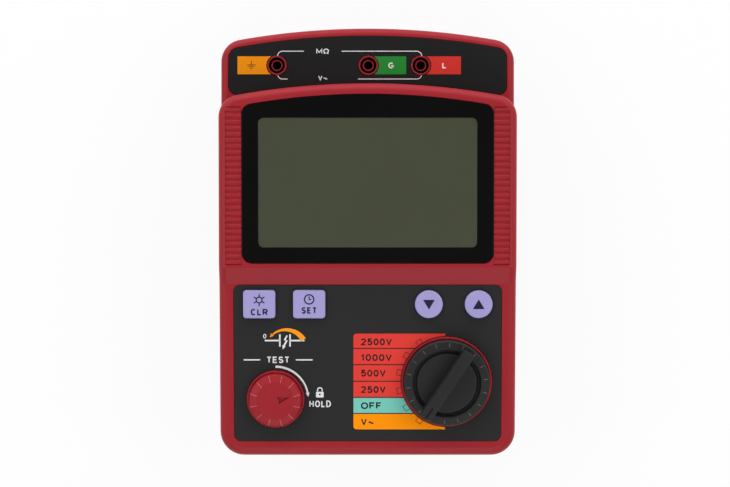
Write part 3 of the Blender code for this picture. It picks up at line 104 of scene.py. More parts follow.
# Sheets, window and grips: width, length and corner where there are three values
CONTROL_SHEET = (0.1260, 0.0742495, 0.0032)
TERMINAL_ROW = 0.0835
TERMINAL_SHEET_CORNERS = (0.0039, 0.0050)
TERMINAL_SIDE_RIM = 0.0037
TERMINAL_TOP_RIM = 0.0039
TERMINAL_HOOD_GAP = 0.0012
SHEET_EDGE = 0.00006
WINDOW = (0.1178, 0.0791891, 0.0049)
WINDOW_TOP = -0.0002
WINDOW_BOTTOM = -0.0017
WINDOW_CROWN = 0.93
WINDOW_HEAD_DROP = 0.0002
VIEW = (0.1024, 0.0605891, 0.0024)
VIEW_SHIFT = -0.0019
VIEW_GAP = 0.00005
RIB_LENGTH = 0.0073
RIB_REACH = 0.0629
RIB_START = -WINDOW[1] / 2 + 0.0004

# Sockets, knob, test button and keys
SOCKETS = {"earth": -0.0431, "guard": 0.0003, "line": 0.0252}
SOCKET_RADIUS = 0.00465
SOCKET_WELL = -0.0120

KNOB_PLACE = (0.0373, -0.0087248)
KNOB_RADIUS = 0.0203
KNOB_RING = 0.0214
KNOB_REST = 236.25
KNOB_BAR = (0.0370, 0.0056, 0.0012)
STEM_HOLE = 0.0033
TEST_PLACE = (-0.0435, -0.0170248)
TEST_RADIUS = 0.0124
TEST_RING = 0.0136
TEST_WELL = -0.0050
TEST_TOP = 0.0065
TEST_CEILING = 0.0043
TEST_POINTER = 14.4

KEY_ROW = 0.0282248
KEY_HEIGHT = 0.0016
SQUARE_KEYS = {"light_key": -0.0510, "timer_key": -0.0275}
ROUND_KEYS = {"down_key": 0.0288, "up_key": 0.0522}
SQUARE_KEY = (0.0152, 0.0133, 0.0015)
ROUND_KEY_RADIUS = 0.00655

# Underside
COVER = (0.1170, 0.0746, 0.0040)
COVER_CENTRE = -0.0480
COVER_SCREWS = (-0.0829, -0.0131)
CASE_SCREWS = (0.0595, -0.0927, 0.0857)
FEET = (0.0420, -0.0931, 0.0881)

# Frames of the three faces and of the two round controls
CONTROL = Matrix.Translation((0.0, -0.057618, 0.062833))
CONTROL = CONTROL @ Matrix.Rotation(math.radians(CONTROL_TILT), 4, "X")
DISPLAY = Matrix.Translation((0.0, 0.029252, 0.072372))
DISPLAY = DISPLAY @ Matrix.Rotation(math.radians(DISPLAY_TILT), 4, "X")
TERMINAL = Matrix.Translation((0.0, TERMINAL_ROW, TERMINAL_HEIGHT))
KNOB = CONTROL @ Matrix.Translation((*KNOB_PLACE, 0.0))
TEST = CONTROL @ Matrix.Translation((*TEST_PLACE, 0.0))

# Stage: what the floor gives off to the camera, and the camera's lens and place
GLOW_SHARE = 0.90
CAMERA_LENS = 103.33
CAMERA_PLACE = (-0.001255, -0.00107)

# Printed colours, as shown on a screen
INKS = {
    "white": (222, 222, 222),
    "amber": (250, 152, 28),
    "earth_patch": (225, 137, 16),
    "guard_patch": (40, 130, 51),
    "line_patch": (200, 52, 45),
    "range_red": (220, 63, 55),
    "off_teal": (118, 197, 182),
    "volts_orange": (255, 146, 6),
    "dark": (36, 36, 38),
    "key_dark": (42, 36, 66),
}

# Finish of each slot: colour, roughness, metal, colour drift, grain depth, grain size, gloss
SLOTS = {
    "rubber": ((38, 38, 39), 0.75, 0.0, 0.12, 0.30, 0.0005, 0.3),
    "brass": ((196, 162, 88), 0.30, 1.0, 0.08, 0.10, 0.0003, 0.5),
    "steel": ((178, 178, 181), 0.32, 1.0, 0.08, 0.12, 0.0002, 0.5),
    "board": ((24, 92, 52), 0.45, 0.0, 0.25, 0.10, 0.0011, 0.5),
    "white": ((222, 222, 218), 0.45, 0.0, 0.04, 0.10, 0.0004, 0.5),
    "yellow": ((222, 186, 66), 0.50, 0.0, 0.15, 0.25, 0.0007, 0.4),
    "blue": ((44, 70, 134), 0.25, 0.0, 0.08, 0.05, 0.0005, 0.5),
    "cell": ((92, 96, 104), 0.35, 0.6, 0.10, 0.05, 0.0004, 0.5),
    "lead_red": ((150, 28, 30), 0.45, 0.0, 0.08, 0.10, 0.0004, 0.4),
    "lead_black": ((26, 26, 27), 0.45, 0.0, 0.08, 0.10, 0.0004, 0.4),
}


def tone(screen):
    """Linear colour of three screen values from 0 to 255."""
    return [((v / 255 + 0.055) / 1.055) ** 2.4 if v > 10 else v / 255 / 12.92 for v in screen]


def metres(name, description, default):
    """A length setting."""
    return bpy.props.FloatProperty(
        name=name, description=description, default=default,
        min=0.0, precision=5, unit="LENGTH", subtype="DISTANCE",
    )


def count(name, description, default):
    """A whole-number setting."""
    return bpy.props.IntProperty(
        name=name, description=description, default=default, min=1, soft_max=60
    )


def shade(name, description, screen):
    """A colour setting whose default is given in screen values."""
    return bpy.props.FloatVectorProperty(
        name=name, description=description, default=tone(screen),
        min=0.0, max=1.0, size=3, subtype="COLOR",
    )


def level(name, description, default):
    """A plain number setting, such as a lamp's strength."""
    return bpy.props.FloatProperty(
        name=name, description=description, default=default, min=0.0, soft_max=50.0
    )


class TesterCase(bpy.types.PropertyGroup):
    """Shape of the two moulded halves."""

    width: metres("Width", "Width of the case, as in the frame", round(CAD_BOX[1].x - CAD_BOX[0].x, 5))
    crown: metres("Crown", "Radius of the arched edges", 0.3500)
    hood_edge: metres("Hood edge", "Round on the rim of the hood", 0.0042)
    terminal_edge: metres("Terminal edge", "Round on the rim of the terminal block", 0.0032)
    rear_edge: metres("Rear edge", "Round on the rim of the rear half", 0.0025)
    edge_steps: count("Edge steps", "Facets across each rounded rim", 8)
    rib_count: count("Grip ribs", "Ribs on each side of the window", 26)
    rib_pitch: metres("Rib pitch", "Distance between two ribs", 0.00286)
    rib_width: metres("Rib width", "Width of a rib at its foot", 0.00185)
    rib_rise: metres("Rib rise", "Height of a rib over its groove", 0.00060)


class TesterFace(bpy.types.PropertyGroup):
    """What is printed on the two sheets and the keys."""

    ink_rise: metres("Ink rise", "Height of the ink over its sheet", 0.00003)
    line: metres("Line", "Width of the printed lines", 0.00037)
    letter: metres("Letter", "Height of the printed letters", 0.00330)
    separator: metres("Separator", "Gap between two range fields", 0.00050)


class TesterControls(bpy.types.PropertyGroup):
    """Small repeats on the knob and the test button."""

    # Each knob tick is a thin strip of painted highlight
    knob_ticks: count("Knob ticks", "Fine lines on the rim of the knob", 18)
    cap_facets: count("Cap facets", "Flats round the shoulder of the test button", 12)
    facet_depth: metres("Facet depth", "How far each flat is let in", 0.00050)
    spring_turns: count("Spring turns", "Turns of the return spring", 4)


class TesterColours(bpy.types.PropertyGroup):
    """Colours of the moulded pieces."""

    red: shade("Red", "Case, sockets and test button", (153, 38, 46))
    charcoal: shade("Charcoal", "Printed sheet round the controls", (40, 40, 40))
    dark: shade("Dark", "Printed sheet round the sockets", (28, 28, 28))
    # Black also paints the shade inside the socket bores
    black: shade("Black", "Knob and socket wells", (31, 32, 31))
    lavender: shade("Lavender", "The four keys", (159, 152, 204))
    lcd: shade("Display", "Blank liquid-crystal glass", (78, 82, 63))


class TesterStage(bpy.types.PropertyGroup):
    """Light and floor."""

    back: level("Back", "The three low lamps beyond the sockets, in watts", 29.0)
    front: level("Front", "Lamp over the control end, in watts", 7.0)
    side: level("Side", "Each of the two side lamps, in watts", 4.5)
    horizon: level("Horizon", "World brightness level with the floor", 0.55)
    zenith: level("Zenith", "World brightness straight above", 0.06)
    floor: shade("Floor", "Colour of the floor", (240, 240, 240))
    camera_height: metres("Camera height", "Camera over the floor", 1.0520)


# Outlines


def arc(centre, radius, start, end, steps=12):
    """Points along an arc, both ends included, its angles in degrees."""
    turns = [math.radians(start + (end - start) * i / steps) for i in range(steps + 1)]
    return [(centre[0] + radius * math.cos(a), centre[1] + radius * math.sin(a)) for a in turns]


def circle(radius, centre=(0.0, 0.0), steps=72):
    """A closed round outline."""
    return arc(centre, radius, 0.0, 360.0, steps)[:-1]


def shifted(loop, place):
    """An outline moved to its place."""
    return [(x + place[0], y + place[1]) for x, y in loop]


def turned(loop, angle):
    """An outline turned about the origin by degrees."""
    c, s = math.cos(math.radians(angle)), math.sin(math.radians(angle))
    return [(x * c - y * s, x * s + y * c) for x, y in loop]


def rounded_box(width, length, corner, steps=10):
    """A rectangle with round corners, about the origin."""
    outline = []
    for quarter, (side, end) in enumerate(((1, 1), (-1, 1), (-1, -1), (1, -1))):
        pivot = (side * (width / 2 - corner), end * (length / 2 - corner))
        outline += arc(pivot, corner, quarter * 90, quarter * 90 + 90, steps)
    return outline


def arched_box(width, bottom, top, crown, corner, foot_corner, steps=10):
    """An outline with straight sides, a straight foot and an arched top."""
    half = width / 2
    crown_y = top - crown
    pivot_y = crown_y + math.sqrt((crown - corner) ** 2 - (half - corner) ** 2)
    lean = math.degrees(math.atan2(pivot_y - crown_y, half - corner))
    outline = arc((half - corner, pivot_y), corner, 0, lean, steps)
    outline += arc((0.0, crown_y), crown, lean, 180 - lean, 40)[1:-1]
    outline += arc((corner - half, pivot_y), corner, 180 - lean, 180, steps)
    outline += arc((foot_corner - half, bottom + foot_corner), foot_corner, 180, 270, steps)
    outline += arc((half - foot_corner, bottom + foot_corner), foot_corner, 270, 360, steps)
    return outline


def arched_band(width, lower, top, crown, lower_corner, corner, steps=10):
    """An outline between two arched edges, lower and top at the middle."""
    half = width / 2
    upper = arched_box(width, lower, top, crown, corner, corner, steps)[: 2 * steps + 41]
    crown_y = lower - crown
    pivot_y = crown_y + math.sqrt((crown + lower_corner) ** 2 - (half - lower_corner) ** 2)
    lean = math.degrees(math.atan2(pivot_y - crown_y, half - lower_corner))
    outline = upper + arc((lower_corner - half, pivot_y), lower_corner, 180, 360 - lean, steps)
    outline += arc((0.0, crown_y), crown, 180 - lean, lean, 40)[1:-1]
    return outline + arc((half - lower_corner, pivot_y), lower_corner, 180 + lean, 360, steps)


def case_outline(case, inset=0.0):
    """Plan of the terminal block and of the rear half."""
    side = FLANK_STEP + inset
    return arched_box(
        case.width - 2 * side, LOWER_END + side, UPPER_END - inset,
        case.crown - inset, UPPER_CORNER - inset, LOWER_CORNER - inset,
    )


def hood_outline(case, inset=0.0):
    """Plan of the raised part that holds the display and the controls."""
    return arched_box(
        case.width - 2 * inset, LOWER_END + inset, HOOD_END - inset,
        case.crown - inset, HOOD_CORNER - inset, LOWER_CORNER - inset,
    )


def window_outline(case, gap=0.0):
    """Plan of the window about its own middle."""
    width, length, corner = WINDOW
    half = length / 2 + gap
    crown = case.crown * WINDOW_CROWN
    top = half - WINDOW_HEAD_DROP
    return arched_box(width + 2 * gap, -half, top, crown, corner + gap, corner + gap)


def view_outline(gap=0.0):
    """Plan of the clear part of the window."""
    width, length, corner = VIEW
    return shifted(rounded_box(width + 2 * gap, length + 2 * gap, corner), (0.0, VIEW_SHIFT))


def terminal_outline(case, gap=0.0):
    """Plan of the printed sheet round the sockets, about their row."""
    lower_corner, corner = TERMINAL_SHEET_CORNERS
    width = case.width - 2 * (FLANK_STEP + TERMINAL_SIDE_RIM - gap)
    lower = HOOD_END + TERMINAL_HOOD_GAP - gap
    top = UPPER_END - TERMINAL_TOP_RIM + gap
    band = arched_band(width, lower, top, case.crown, lower_corner + gap, corner + gap)
    return shifted(band, (0.0, -TERMINAL_ROW))


def control_outline(gap=0.0):
    """Plan of the printed sheet round the controls."""
    width, length, corner = CONTROL_SHEET
    return rounded_box(width + 2 * gap, length + 2 * gap, corner + gap)


def key_outlines(gap=0.0):
    """Every key's outline about its own middle, with its place along the row."""
    width, length, corner = SQUARE_KEY
    square = rounded_box(width + 2 * gap, length + 2 * gap, corner + gap, 6)
    keys = {name: (square, x) for name, x in SQUARE_KEYS.items()}
    keys.update({name: (circle(ROUND_KEY_RADIUS + gap), x) for name, x in ROUND_KEYS.items()})
    return keys


def key_holes(gap):
    """The keys' outlines where they stand on the control face."""
    return [shifted(loop, (x, KEY_ROW)) for loop, x in key_outlines(gap).values()]


def filleted(line):
    """A line through (x, y, radius) corners, each rounded by its radius."""
    points = []
    for number, (x, y, radius) in enumerate(line):
        corner = Vector((x, y))
        if radius == 0.0:
            points.append((x, y))
            continue
        back = (Vector(line[number - 1][:2]) - corner).normalized()
        on = (Vector(line[(number + 1) % len(line)][:2]) - corner).normalized()
        half = back.angle(on) / 2
        pivot = corner + (back + on).normalized() * (radius / math.sin(half))
        first = corner + back * (radius / math.tan(half)) - pivot
        sweep = math.pi - 2 * half
        if back.x * on.y - back.y * on.x > 0:
            sweep = -sweep
        start = math.atan2(first.y, first.x)
        steps = max(2, math.ceil(abs(math.degrees(sweep)) / 15))
        points += arc(pivot, radius, math.degrees(start), math.degrees(start + sweep), steps)
    return points


def ribbon(points, width):
    """The outline of a line of the given width, or of a width for each point."""
    widths = width if isinstance(width, list) else [width] * len(points)
    left, right = [], []
    for number, point in enumerate(points):
        here = Vector(point)
        back = (here - Vector(points[number - 1])).normalized() if number else None
        on = (Vector(points[number + 1]) - here).normalized() if number + 1 < len(points) else None
        along = ((back or on) + (on or back)).normalized()
        side = Vector((-along.y, along.x))
        reach = widths[number] / 2 / max(0.5, along.dot(on or back))
        left.append(tuple(here + side * reach))
        right.append(tuple(here - side * reach))
    return left + right[::-1]


# Meshes


def placed(name, data):
    """A new object in the scene."""
    made = bpy.data.objects.new(name, data)
    bpy.context.scene.collection.objects.link(made)
    return made


def plain_mesh(work):
    """The mesh of a finished set of faces."""
    mesh = bpy.data.meshes.new("plain")
    work.to_mesh(mesh)
    work.free()
    return mesh


def evaluated(data, steps=()):
    """A plain mesh of curve or mesh data, after its rims are rounded and other meshes joined or cut."""
    work = placed("work", data)
    used = [work]
    for kind, value in steps:
        if kind == "ROUND":
            step = work.modifiers.new(kind, "BEVEL")
            step.width, step.segments = value
            step.limit_method = "ANGLE"
            step.angle_limit = math.radians(50)
            step.use_clamp_overlap = False
        elif kind == "NORMALS":
            step = work.modifiers.new(kind, "WEIGHTED_NORMAL")
            step.keep_sharp = True
        else:
            tool = placed("tool", value)
            used.append(tool)
            step = work.modifiers.new(kind, "BOOLEAN")
            step.operation = kind
            step.solver = "EXACT"
            step.object = tool
    mesh = bpy.data.meshes.new_from_object(work.evaluated_get(bpy.context.evaluated_depsgraph_get()))
    for obj in used:
        bpy.data.objects.remove(obj)
    return mesh


def tidied(mesh, flat=0.1):
    """The mesh with its seams closed, its flat faces joined and every face turned outward."""
    work = bmesh.new()
    work.from_mesh(mesh)
    bmesh.ops.remove_doubles(work, verts=work.verts, dist=1e-7)
    if flat:
        limit = math.radians(flat)
        bmesh.ops.dissolve_limit(work, angle_limit=limit, verts=work.verts, edges=work.edges)
    bmesh.ops.recalc_face_normals(work, faces=work.faces)
    work.to_mesh(mesh)
    work.free()
    return mesh


def plate(loops, bottom, top, edge=0.0):
    """A flat closed solid of one outline and its holes, its rims rounded by the edge."""
    outline = bpy.data.curves.new("outline", "CURVE")
    outline.dimensions = "2D"
    outline.fill_mode = "BOTH"
    outline.extrude = (top - bottom) / 2 - edge
    outline.bevel_depth = edge
    outline.bevel_resolution = 2
    outline.offset = -edge
    for number, loop in enumerate(loops):
        area = sum(a[0] * b[1] - b[0] * a[1] for a, b in zip(loop, loop[1:] + loop[:1]))
        ring = loop if (area > 0) == (number == 0) else loop[::-1]
        spline = outline.splines.new("POLY")
        spline.points.add(len(ring) - 1)
        spline.use_cyclic_u = True
        for point, (x, y) in zip(spline.points, ring):
            point.co = (x, y, 0.0, 1.0)
    mesh = evaluated(outline)
    mesh.transform(Matrix.Translation((0.0, 0.0, (bottom + top) / 2)))
    return tidied(mesh)


def box(x, y, z):
    """A plain block between pairs of limits."""
    return plate([[(x[0], y[0]), (x[1], y[0]), (x[1], y[1]), (x[0], y[1])]], *z)


def rod(radius, bottom, top, centre=(0.0, 0.0)):
    """A plain round bar."""
    return plate([circle(radius, centre)], bottom, top)


def lathe(profile, steps=72, closed=False, shape=None):
    """A turned solid of (radius, height) points. A shape changes the radius by height and angle."""
    work = bmesh.new()
    rings = []
    for radius, height in profile:
        if radius < 1e-7:
            rings.append([work.verts.new((0.0, 0.0, height))])
            continue
        ring = []
        for number in range(steps):
            angle = 2 * math.pi * number / steps
            reach = shape(radius, height, angle) if shape else radius
            ring.append(work.verts.new((reach * math.cos(angle), reach * math.sin(angle), height)))
        rings.append(ring)
    for low, high in zip(rings, rings[1:] + rings[:1] if closed else rings[1:]):
        for number in range(max(len(low), len(high))):
            if len(low) == len(high) == 1:
                continue
            after = (number + 1) % max(len(low), len(high))
            if len(low) == 1:
                corners = (low[0], high[after], high[number])
            elif len(high) == 1:
                corners = (low[number], low[after], high[0])
            else:
                corners = (low[number], low[after], high[after], high[number])
            work.faces.new(corners)
    return tidied(plain_mesh(work), 0)


def joined(meshes):
    """One mesh of several."""
    work = bmesh.new()
    for mesh in meshes:
        work.from_mesh(mesh)
    return plain_mesh(work)


def moved(mesh, place):
    """The mesh at its place, which is a matrix or a shift."""
    mesh.transform(place if isinstance(place, Matrix) else Matrix.Translation(place))
    return mesh


def bowl(start, end, centre=(0.5, 0.5), wide=0.5, tall=0.5, steps=16):
    """Points along an oval stroke, in the unit box of a letter."""
    unit = arc((0.0, 0.0), 1.0, start, end, steps)
    return [(centre[0] + wide * x, centre[1] + tall * y) for x, y in unit]


# Width of each letter, and its strokes in a unit box
LETTERS = {
    "0": (0.62, [bowl(90, 450, steps=28)]),
    "1": (0.40, [[(0.1, 0.74), (0.75, 1.0), (0.75, 0.0)]]),
    "2": (0.62, [bowl(165, -35, (0.5, 0.72), 0.5, 0.28) + [(0.0, 0.0), (1.0, 0.0)]]),
    "5": (0.62, [[(0.95, 1.0), (0.18, 1.0), (0.06, 0.5)] + bowl(135, -150, (0.48, 0.32), 0.52, 0.32)]),
    "C": (0.72, [bowl(45, 315, steps=20)]),
    "D": (0.72, [[(0.45, 0.0), (0.0, 0.0), (0.0, 1.0), (0.45, 1.0)], bowl(90, -90, (0.45, 0.5), 0.55)]),
    "E": (0.62, [[(1.0, 0.0), (0.0, 0.0), (0.0, 1.0), (0.96, 1.0)], [(0.0, 0.52), (0.9, 0.52)]]),
    "F": (0.60, [[(0.0, 0.0), (0.0, 1.0), (1.0, 1.0)], [(0.0, 0.5), (0.85, 0.5)]]),
    "G": (0.76, [bowl(45, 345, steps=20), [(0.55, 0.44), (1.0, 0.44), (1.0, 0.1)]]),
    "H": (0.70, [[(0.0, 0.0), (0.0, 1.0)], [(1.0, 0.0), (1.0, 1.0)], [(0.0, 0.52), (1.0, 0.52)]]),
    "L": (0.58, [[(0.0, 1.0), (0.0, 0.0), (1.0, 0.0)]]),
    "M": (0.84, [[(0.0, 0.0), (0.0, 1.0), (0.5, 0.2), (1.0, 1.0), (1.0, 0.0)]]),
    "O": (0.78, [bowl(90, 450, steps=28)]),
    "R": (0.70, [
        [(0.0, 0.0), (0.0, 1.0), (0.55, 1.0)] + bowl(80, -80, (0.6, 0.74), 0.4, 0.26) + [(0.0, 0.48)],
        [(0.5, 0.48), (1.0, 0.0)],
    ]),
    "S": (0.64, [bowl(25, 255, (0.5, 0.75), 0.47, 0.25) + bowl(80, -155, (0.5, 0.26), 0.5, 0.26)]),
    "T": (0.66, [[(0.0, 1.0), (1.0, 1.0)], [(0.5, 1.0), (0.5, 0.0)]]),
    "V": (0.70, [[(0.0, 1.0), (0.5, 0.0), (1.0, 1.0)]]),
    "Ω": (0.84, [
        [(0.0, 0.0), (0.3, 0.0)]
        + bowl(238, -58, (0.5, 0.58), 0.47, 0.42, 22)
        + [(0.7, 0.0), (1.0, 0.0)],
    ]),
    "~": (0.70, [[(i / 12, 0.36 + 0.13 * math.sin(math.pi * i / 6)) for i in range(13)]]),
}


def words(text, left, bottom, right, top, face, weight=0.21, gap=0.17):
    """Bold printed letters that fill the given box."""
    height = top - bottom
    stroke = weight * height
    spare = right - left - gap * height * (len(text) - 1)
    scale = spare / sum(LETTERS[letter][0] for letter in text)
    strokes = []
    for letter in text:
        width, lines = LETTERS[letter]
        across, up = width * scale - stroke, height - stroke
        for line in lines:
            points = [(left + stroke / 2 + x * across, bottom + stroke / 2 + y * up) for x, y in line]
            strokes.append(ink(face, ribbon(points, stroke)))
        left += width * scale + gap * height
    return joined(strokes)


def ink(face, *loops):
    """A thin printed patch."""
    return plate(list(loops), -face.ink_rise, face.ink_rise)


def copies_tree():
    """Nodes that set copies of one shape along a line, each turned on from the last."""
    tree = bpy.data.node_groups.get("copies")
    if tree:
        return tree, {item.name: item.identifier for item in tree.interface.items_tree}
    tree = bpy.data.node_groups.new("copies", "GeometryNodeTree")
    sockets = {}
    for name, kind in (
        ("Shape", "NodeSocketObject"), ("Count", "NodeSocketInt"), ("Start", "NodeSocketVector"),
        ("Shift", "NodeSocketVector"), ("First turn", "NodeSocketFloat"), ("Turn", "NodeSocketFloat"),
        ("Finish", "NodeSocketMaterial"),
    ):
        made = tree.interface.new_socket(name=name, in_out="INPUT", socket_type=kind)
        sockets[name] = made.identifier
    tree.interface.new_socket(name="Geometry", in_out="OUTPUT", socket_type="NodeSocketGeometry")
    inputs = tree.nodes.new("NodeGroupInput")
    output = tree.nodes.new("NodeGroupOutput")
    line = tree.nodes.new("GeometryNodeMeshLine")
    shape = tree.nodes.new("GeometryNodeObjectInfo")
    index = tree.nodes.new("GeometryNodeInputIndex")
    angle = tree.nodes.new("ShaderNodeMath")
    angle.operation = "MULTIPLY_ADD"
    turn = tree.nodes.new("ShaderNodeCombineXYZ")
    spread = tree.nodes.new("GeometryNodeInstanceOnPoints")
    real = tree.nodes.new("GeometryNodeRealizeInstances")
    paint = tree.nodes.new("GeometryNodeSetMaterial")
    for start, end in (
        (inputs.outputs["Count"], line.inputs["Count"]),
        (inputs.outputs["Start"], line.inputs["Start Location"]),
        (inputs.outputs["Shift"], line.inputs["Offset"]),
        (inputs.outputs["Shape"], shape.inputs["Object"]),
        (index.outputs["Index"], angle.inputs[0]),
        (inputs.outputs["Turn"], angle.inputs[1]),
        (inputs.outputs["First turn"], angle.inputs[2]),
        (angle.outputs["Value"], turn.inputs["Z"]),
        (line.outputs["Mesh"], spread.inputs["Points"]),
        (shape.outputs["Geometry"], spread.inputs["Instance"]),
        (turn.outputs["Vector"], spread.inputs["Rotation"]),
        (spread.outputs["Instances"], real.inputs["Geometry"]),
        (real.outputs["Geometry"], paint.inputs["Geometry"]),
        (inputs.outputs["Finish"], paint.inputs["Material"]),
        (paint.outputs["Geometry"], output.inputs["Geometry"]),
    ):
        tree.links.new(start, end)
    return tree, sockets


def copies(shape, number, finish, start=(0.0, 0.0, 0.0), shift=(0.0, 0.0, 0.0), first=0.0, turn=0.0):
    """A plain mesh of copies of a shape, along a line or round the origin, its turns in degrees."""
    tree, sockets = copies_tree()
    pattern = placed("shape", shape)
    holder = placed("copies", bpy.data.meshes.new("copies"))
    nodes = holder.modifiers.new("copies", "NODES")
    nodes.node_group = tree
    for name, value in (
        ("Shape", pattern), ("Count", number), ("Start", start), ("Shift", shift),
        ("First turn", math.radians(first)), ("Turn", math.radians(turn)), ("Finish", finish),
    ):
        nodes[sockets[name]] = value
    mesh = bpy.data.meshes.new_from_object(holder.evaluated_get(bpy.context.evaluated_depsgraph_get()))
    for obj in (pattern, holder):
        bpy.data.objects.remove(obj)
    return mesh


# Finishes


def add(tree, kind, values=()):
    """A new node, with the given values set on its inputs."""
    made = tree.nodes.new(kind)
    for name, value in values:
        made.inputs[name].default_value = value
    return made


def link(tree, start, end):
    """Joins two sockets."""
    tree.links.new(start, end)


def finish(name, colour, roughness, metal=0.0, drift=0.05, grain=0.1, size=0.0004, gloss=0.5):
    """A finish whose colour and roughness drift a little over the piece, with a fine grain."""
    found = bpy.data.materials.get(name)
    if found:
        return found
    made = bpy.data.materials.new(name)
    made.use_nodes = True
    made.diffuse_color = (*colour, 1.0)
    tree = made.node_tree
    shader = tree.nodes["Principled BSDF"]
    shader.inputs["Metallic"].default_value = metal
    shader.inputs["Specular IOR Level"].default_value = gloss
    place = add(tree, "ShaderNodeTexCoord")
    broad = add(tree, "ShaderNodeTexNoise", (("Scale", 28.0), ("Detail", 3.0)))
    link(tree, place.outputs["Object"], broad.inputs["Vector"])
    mix = add(tree, "ShaderNodeMix")
    mix.data_type = "RGBA"
    mix.inputs["A"].default_value = (*(c * (1 - drift) for c in colour), 1.0)
    mix.inputs["B"].default_value = (*(min(1.0, c * (1 + drift)) for c in colour), 1.0)
    link(tree, broad.outputs["Fac"], mix.inputs["Factor"])
    link(tree, mix.outputs["Result"], shader.inputs["Base Color"])
    limits = (("To Min", roughness * 0.88), ("To Max", min(1.0, roughness * 1.12)))
    rough = add(tree, "ShaderNodeMapRange", limits)
    link(tree, broad.outputs["Fac"], rough.inputs["Value"])
    link(tree, rough.outputs["Result"], shader.inputs["Roughness"])
    fine = add(tree, "ShaderNodeTexNoise", (("Scale", 1.0 / size), ("Detail", 1.0)))
    link(tree, place.outputs["Object"], fine.inputs["Vector"])
    bump = add(tree, "ShaderNodeBump", (("Strength", grain), ("Distance", size / 6)))
    link(tree, fine.outputs["Fac"], bump.inputs["Height"])
    link(tree, bump.outputs["Normal"], shader.inputs["Normal"])
    return made


def ink_finish(name):
    """The finish of a printed colour."""
    return finish(f"ink_{name}", tone(INKS[name]), 0.60, 0.0, 0.03, 0.04, 0.0003, 0.06)


def slot_finish(name):
    """The finish of a record slot."""
    colours = bpy.context.scene.tester_colours
    chosen = {
        "red": ("crimson_plastic", colours.red, 0.38, 0.0, 0.04, 0.08, 0.0004, 0.12),
        "charcoal": ("charcoal_sheet", colours.charcoal, 0.55, 0.0, 0.05, 0.08, 0.0003, 0.12),
        "dark": ("dark_sheet", colours.dark, 0.55, 0.0, 0.05, 0.08, 0.0003, 0.12),
        "black": ("black_plastic", colours.black, 0.45, 0.0, 0.06, 0.08, 0.0004, 0.3),
        "lavender": ("lavender_rubber", colours.lavender, 0.60, 0.0, 0.03, 0.05, 0.0004, 0.3),
        "lcd": ("display_glass", colours.lcd, 0.38, 0.0, 0.03, 0.02, 0.0006, 0.2),
        "window": ("gloss_black", tone((10, 10, 10)), 0.24, 0.0, 0.10, 0.01, 0.0010, 0.25),
    }
    if name in chosen:
        return finish(*chosen[name])
    screen, *rest = SLOTS[name]
    return finish(name, tone(screen), *rest)


def piece(name, mesh, material, body="case", stands_for=(), sharp=30.0, even=False):
    """A finished piece that rides on a body and stands for the frame's own nodes."""
    mesh.materials.clear()
    mesh.materials.append(material)
    mesh.polygons.foreach_set("material_index", [0] * len(mesh.polygons))
    mesh.shade_smooth()
    mesh.set_sharp_from_angle(angle=math.radians(sharp))
    if even:
        mesh = evaluated(mesh, [("NORMALS", None)])
    mesh.name = name
    made = placed(name, mesh)
    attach(made, body)
    if stands_for:
        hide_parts(*stands_for)
    return made


# The case


def side_profile(case, drop):
    """The stepped wedge seen from the side, its face lowered by the drop."""
    front = FRONT_EDGE_HEIGHT - PAST * math.tan(math.radians(CONTROL_TILT))
    back = CREASE[1] + (HOOD_END + PAST - CREASE[0]) * math.tan(math.radians(DISPLAY_TILT))
    line = [
        (LOWER_END - PAST, -PAST), (HOOD_END + PAST, -PAST), (HOOD_END + PAST, back - drop),
        (CREASE[0], CREASE[1] - drop), (STEP_FOOT[0], STEP_FOOT[1] - drop),
        (LOWER_END - PAST, front - drop),
    ]
    wedge = plate([line], -case.width / 2 - PAST, case.width / 2 + PAST)
    on_side = Matrix(((0, 0, 1, 0), (1, 0, 0, 0), (0, 1, 0, 0), (0, 0, 0, 1)))
    return moved(wedge, on_side)


def front_tools(case):
    """What is cut from the front half or joined to it, in order."""
    rib_foot = RIB_START - case.rib_pitch / 2
    rib_head = rib_foot + case.rib_count * case.rib_pitch
    recesses = [
        moved(plate([window_outline(case, FIT)], WINDOW_BOTTOM - FIT, PAST), DISPLAY),
        moved(plate([terminal_outline(case, FIT)], -RECESS, 0.002), TERMINAL),
        moved(plate([control_outline(FIT)], -RECESS, 0.002), CONTROL),
    ]
    holes = [moved(plate([view_outline(0.0010)], -FACE_WALL - 0.005, PAST), DISPLAY)]
    for side in (-1, 1):
        pocket = shifted(
            rounded_box(RIB_LENGTH + 0.0002, rib_head - rib_foot, 0.0008),
            (side * RIB_REACH, (rib_foot + rib_head) / 2),
        )
        holes.append(moved(plate([pocket], -case.rib_rise, PAST), DISPLAY))
    for x in SOCKETS.values():
        holes.append(moved(rod(SOCKET_RADIUS + FIT, -0.008, 0.005, (x, 0.0)), TERMINAL))
    for hole in key_holes(FIT):
        holes.append(moved(plate([hole], -0.008, 0.005), CONTROL))
    rings = [
        moved(lathe(ring_profile(KNOB_RING, 0.0205, -0.002, 0.0012)), KNOB),
        moved(lathe(ring_profile(TEST_RING, 0.0126, -0.007, 0.0014)), TEST),
    ]
    wells = [
        moved(rod(KNOB_RADIUS + FIT, -0.0011, PAST), KNOB),
        moved(rod(TEST_RADIUS + FIT, TEST_WELL, PAST), TEST),
    ]
    bores = [
        moved(rod(STEM_HOLE, -0.008, PAST), KNOB),
        moved(rod(STEM_HOLE, -0.012, PAST), TEST),
    ]
    cuts = [("DIFFERENCE", joined(recesses)), ("DIFFERENCE", joined(holes)), ("UNION", joined(rings))]
    return cuts + [("DIFFERENCE", joined(wells)), ("DIFFERENCE", joined(bores))]


def ring_profile(outer, inner, bottom, top):
    """Outline of a raised ring that is solid below, with a rounded crest."""
    crest = (outer - inner) / 2
    return filleted([
        (0.0, bottom, 0.0), (outer, bottom, 0.0), (outer, top, crest * 0.8), (0.0, top, 0.0),
    ])


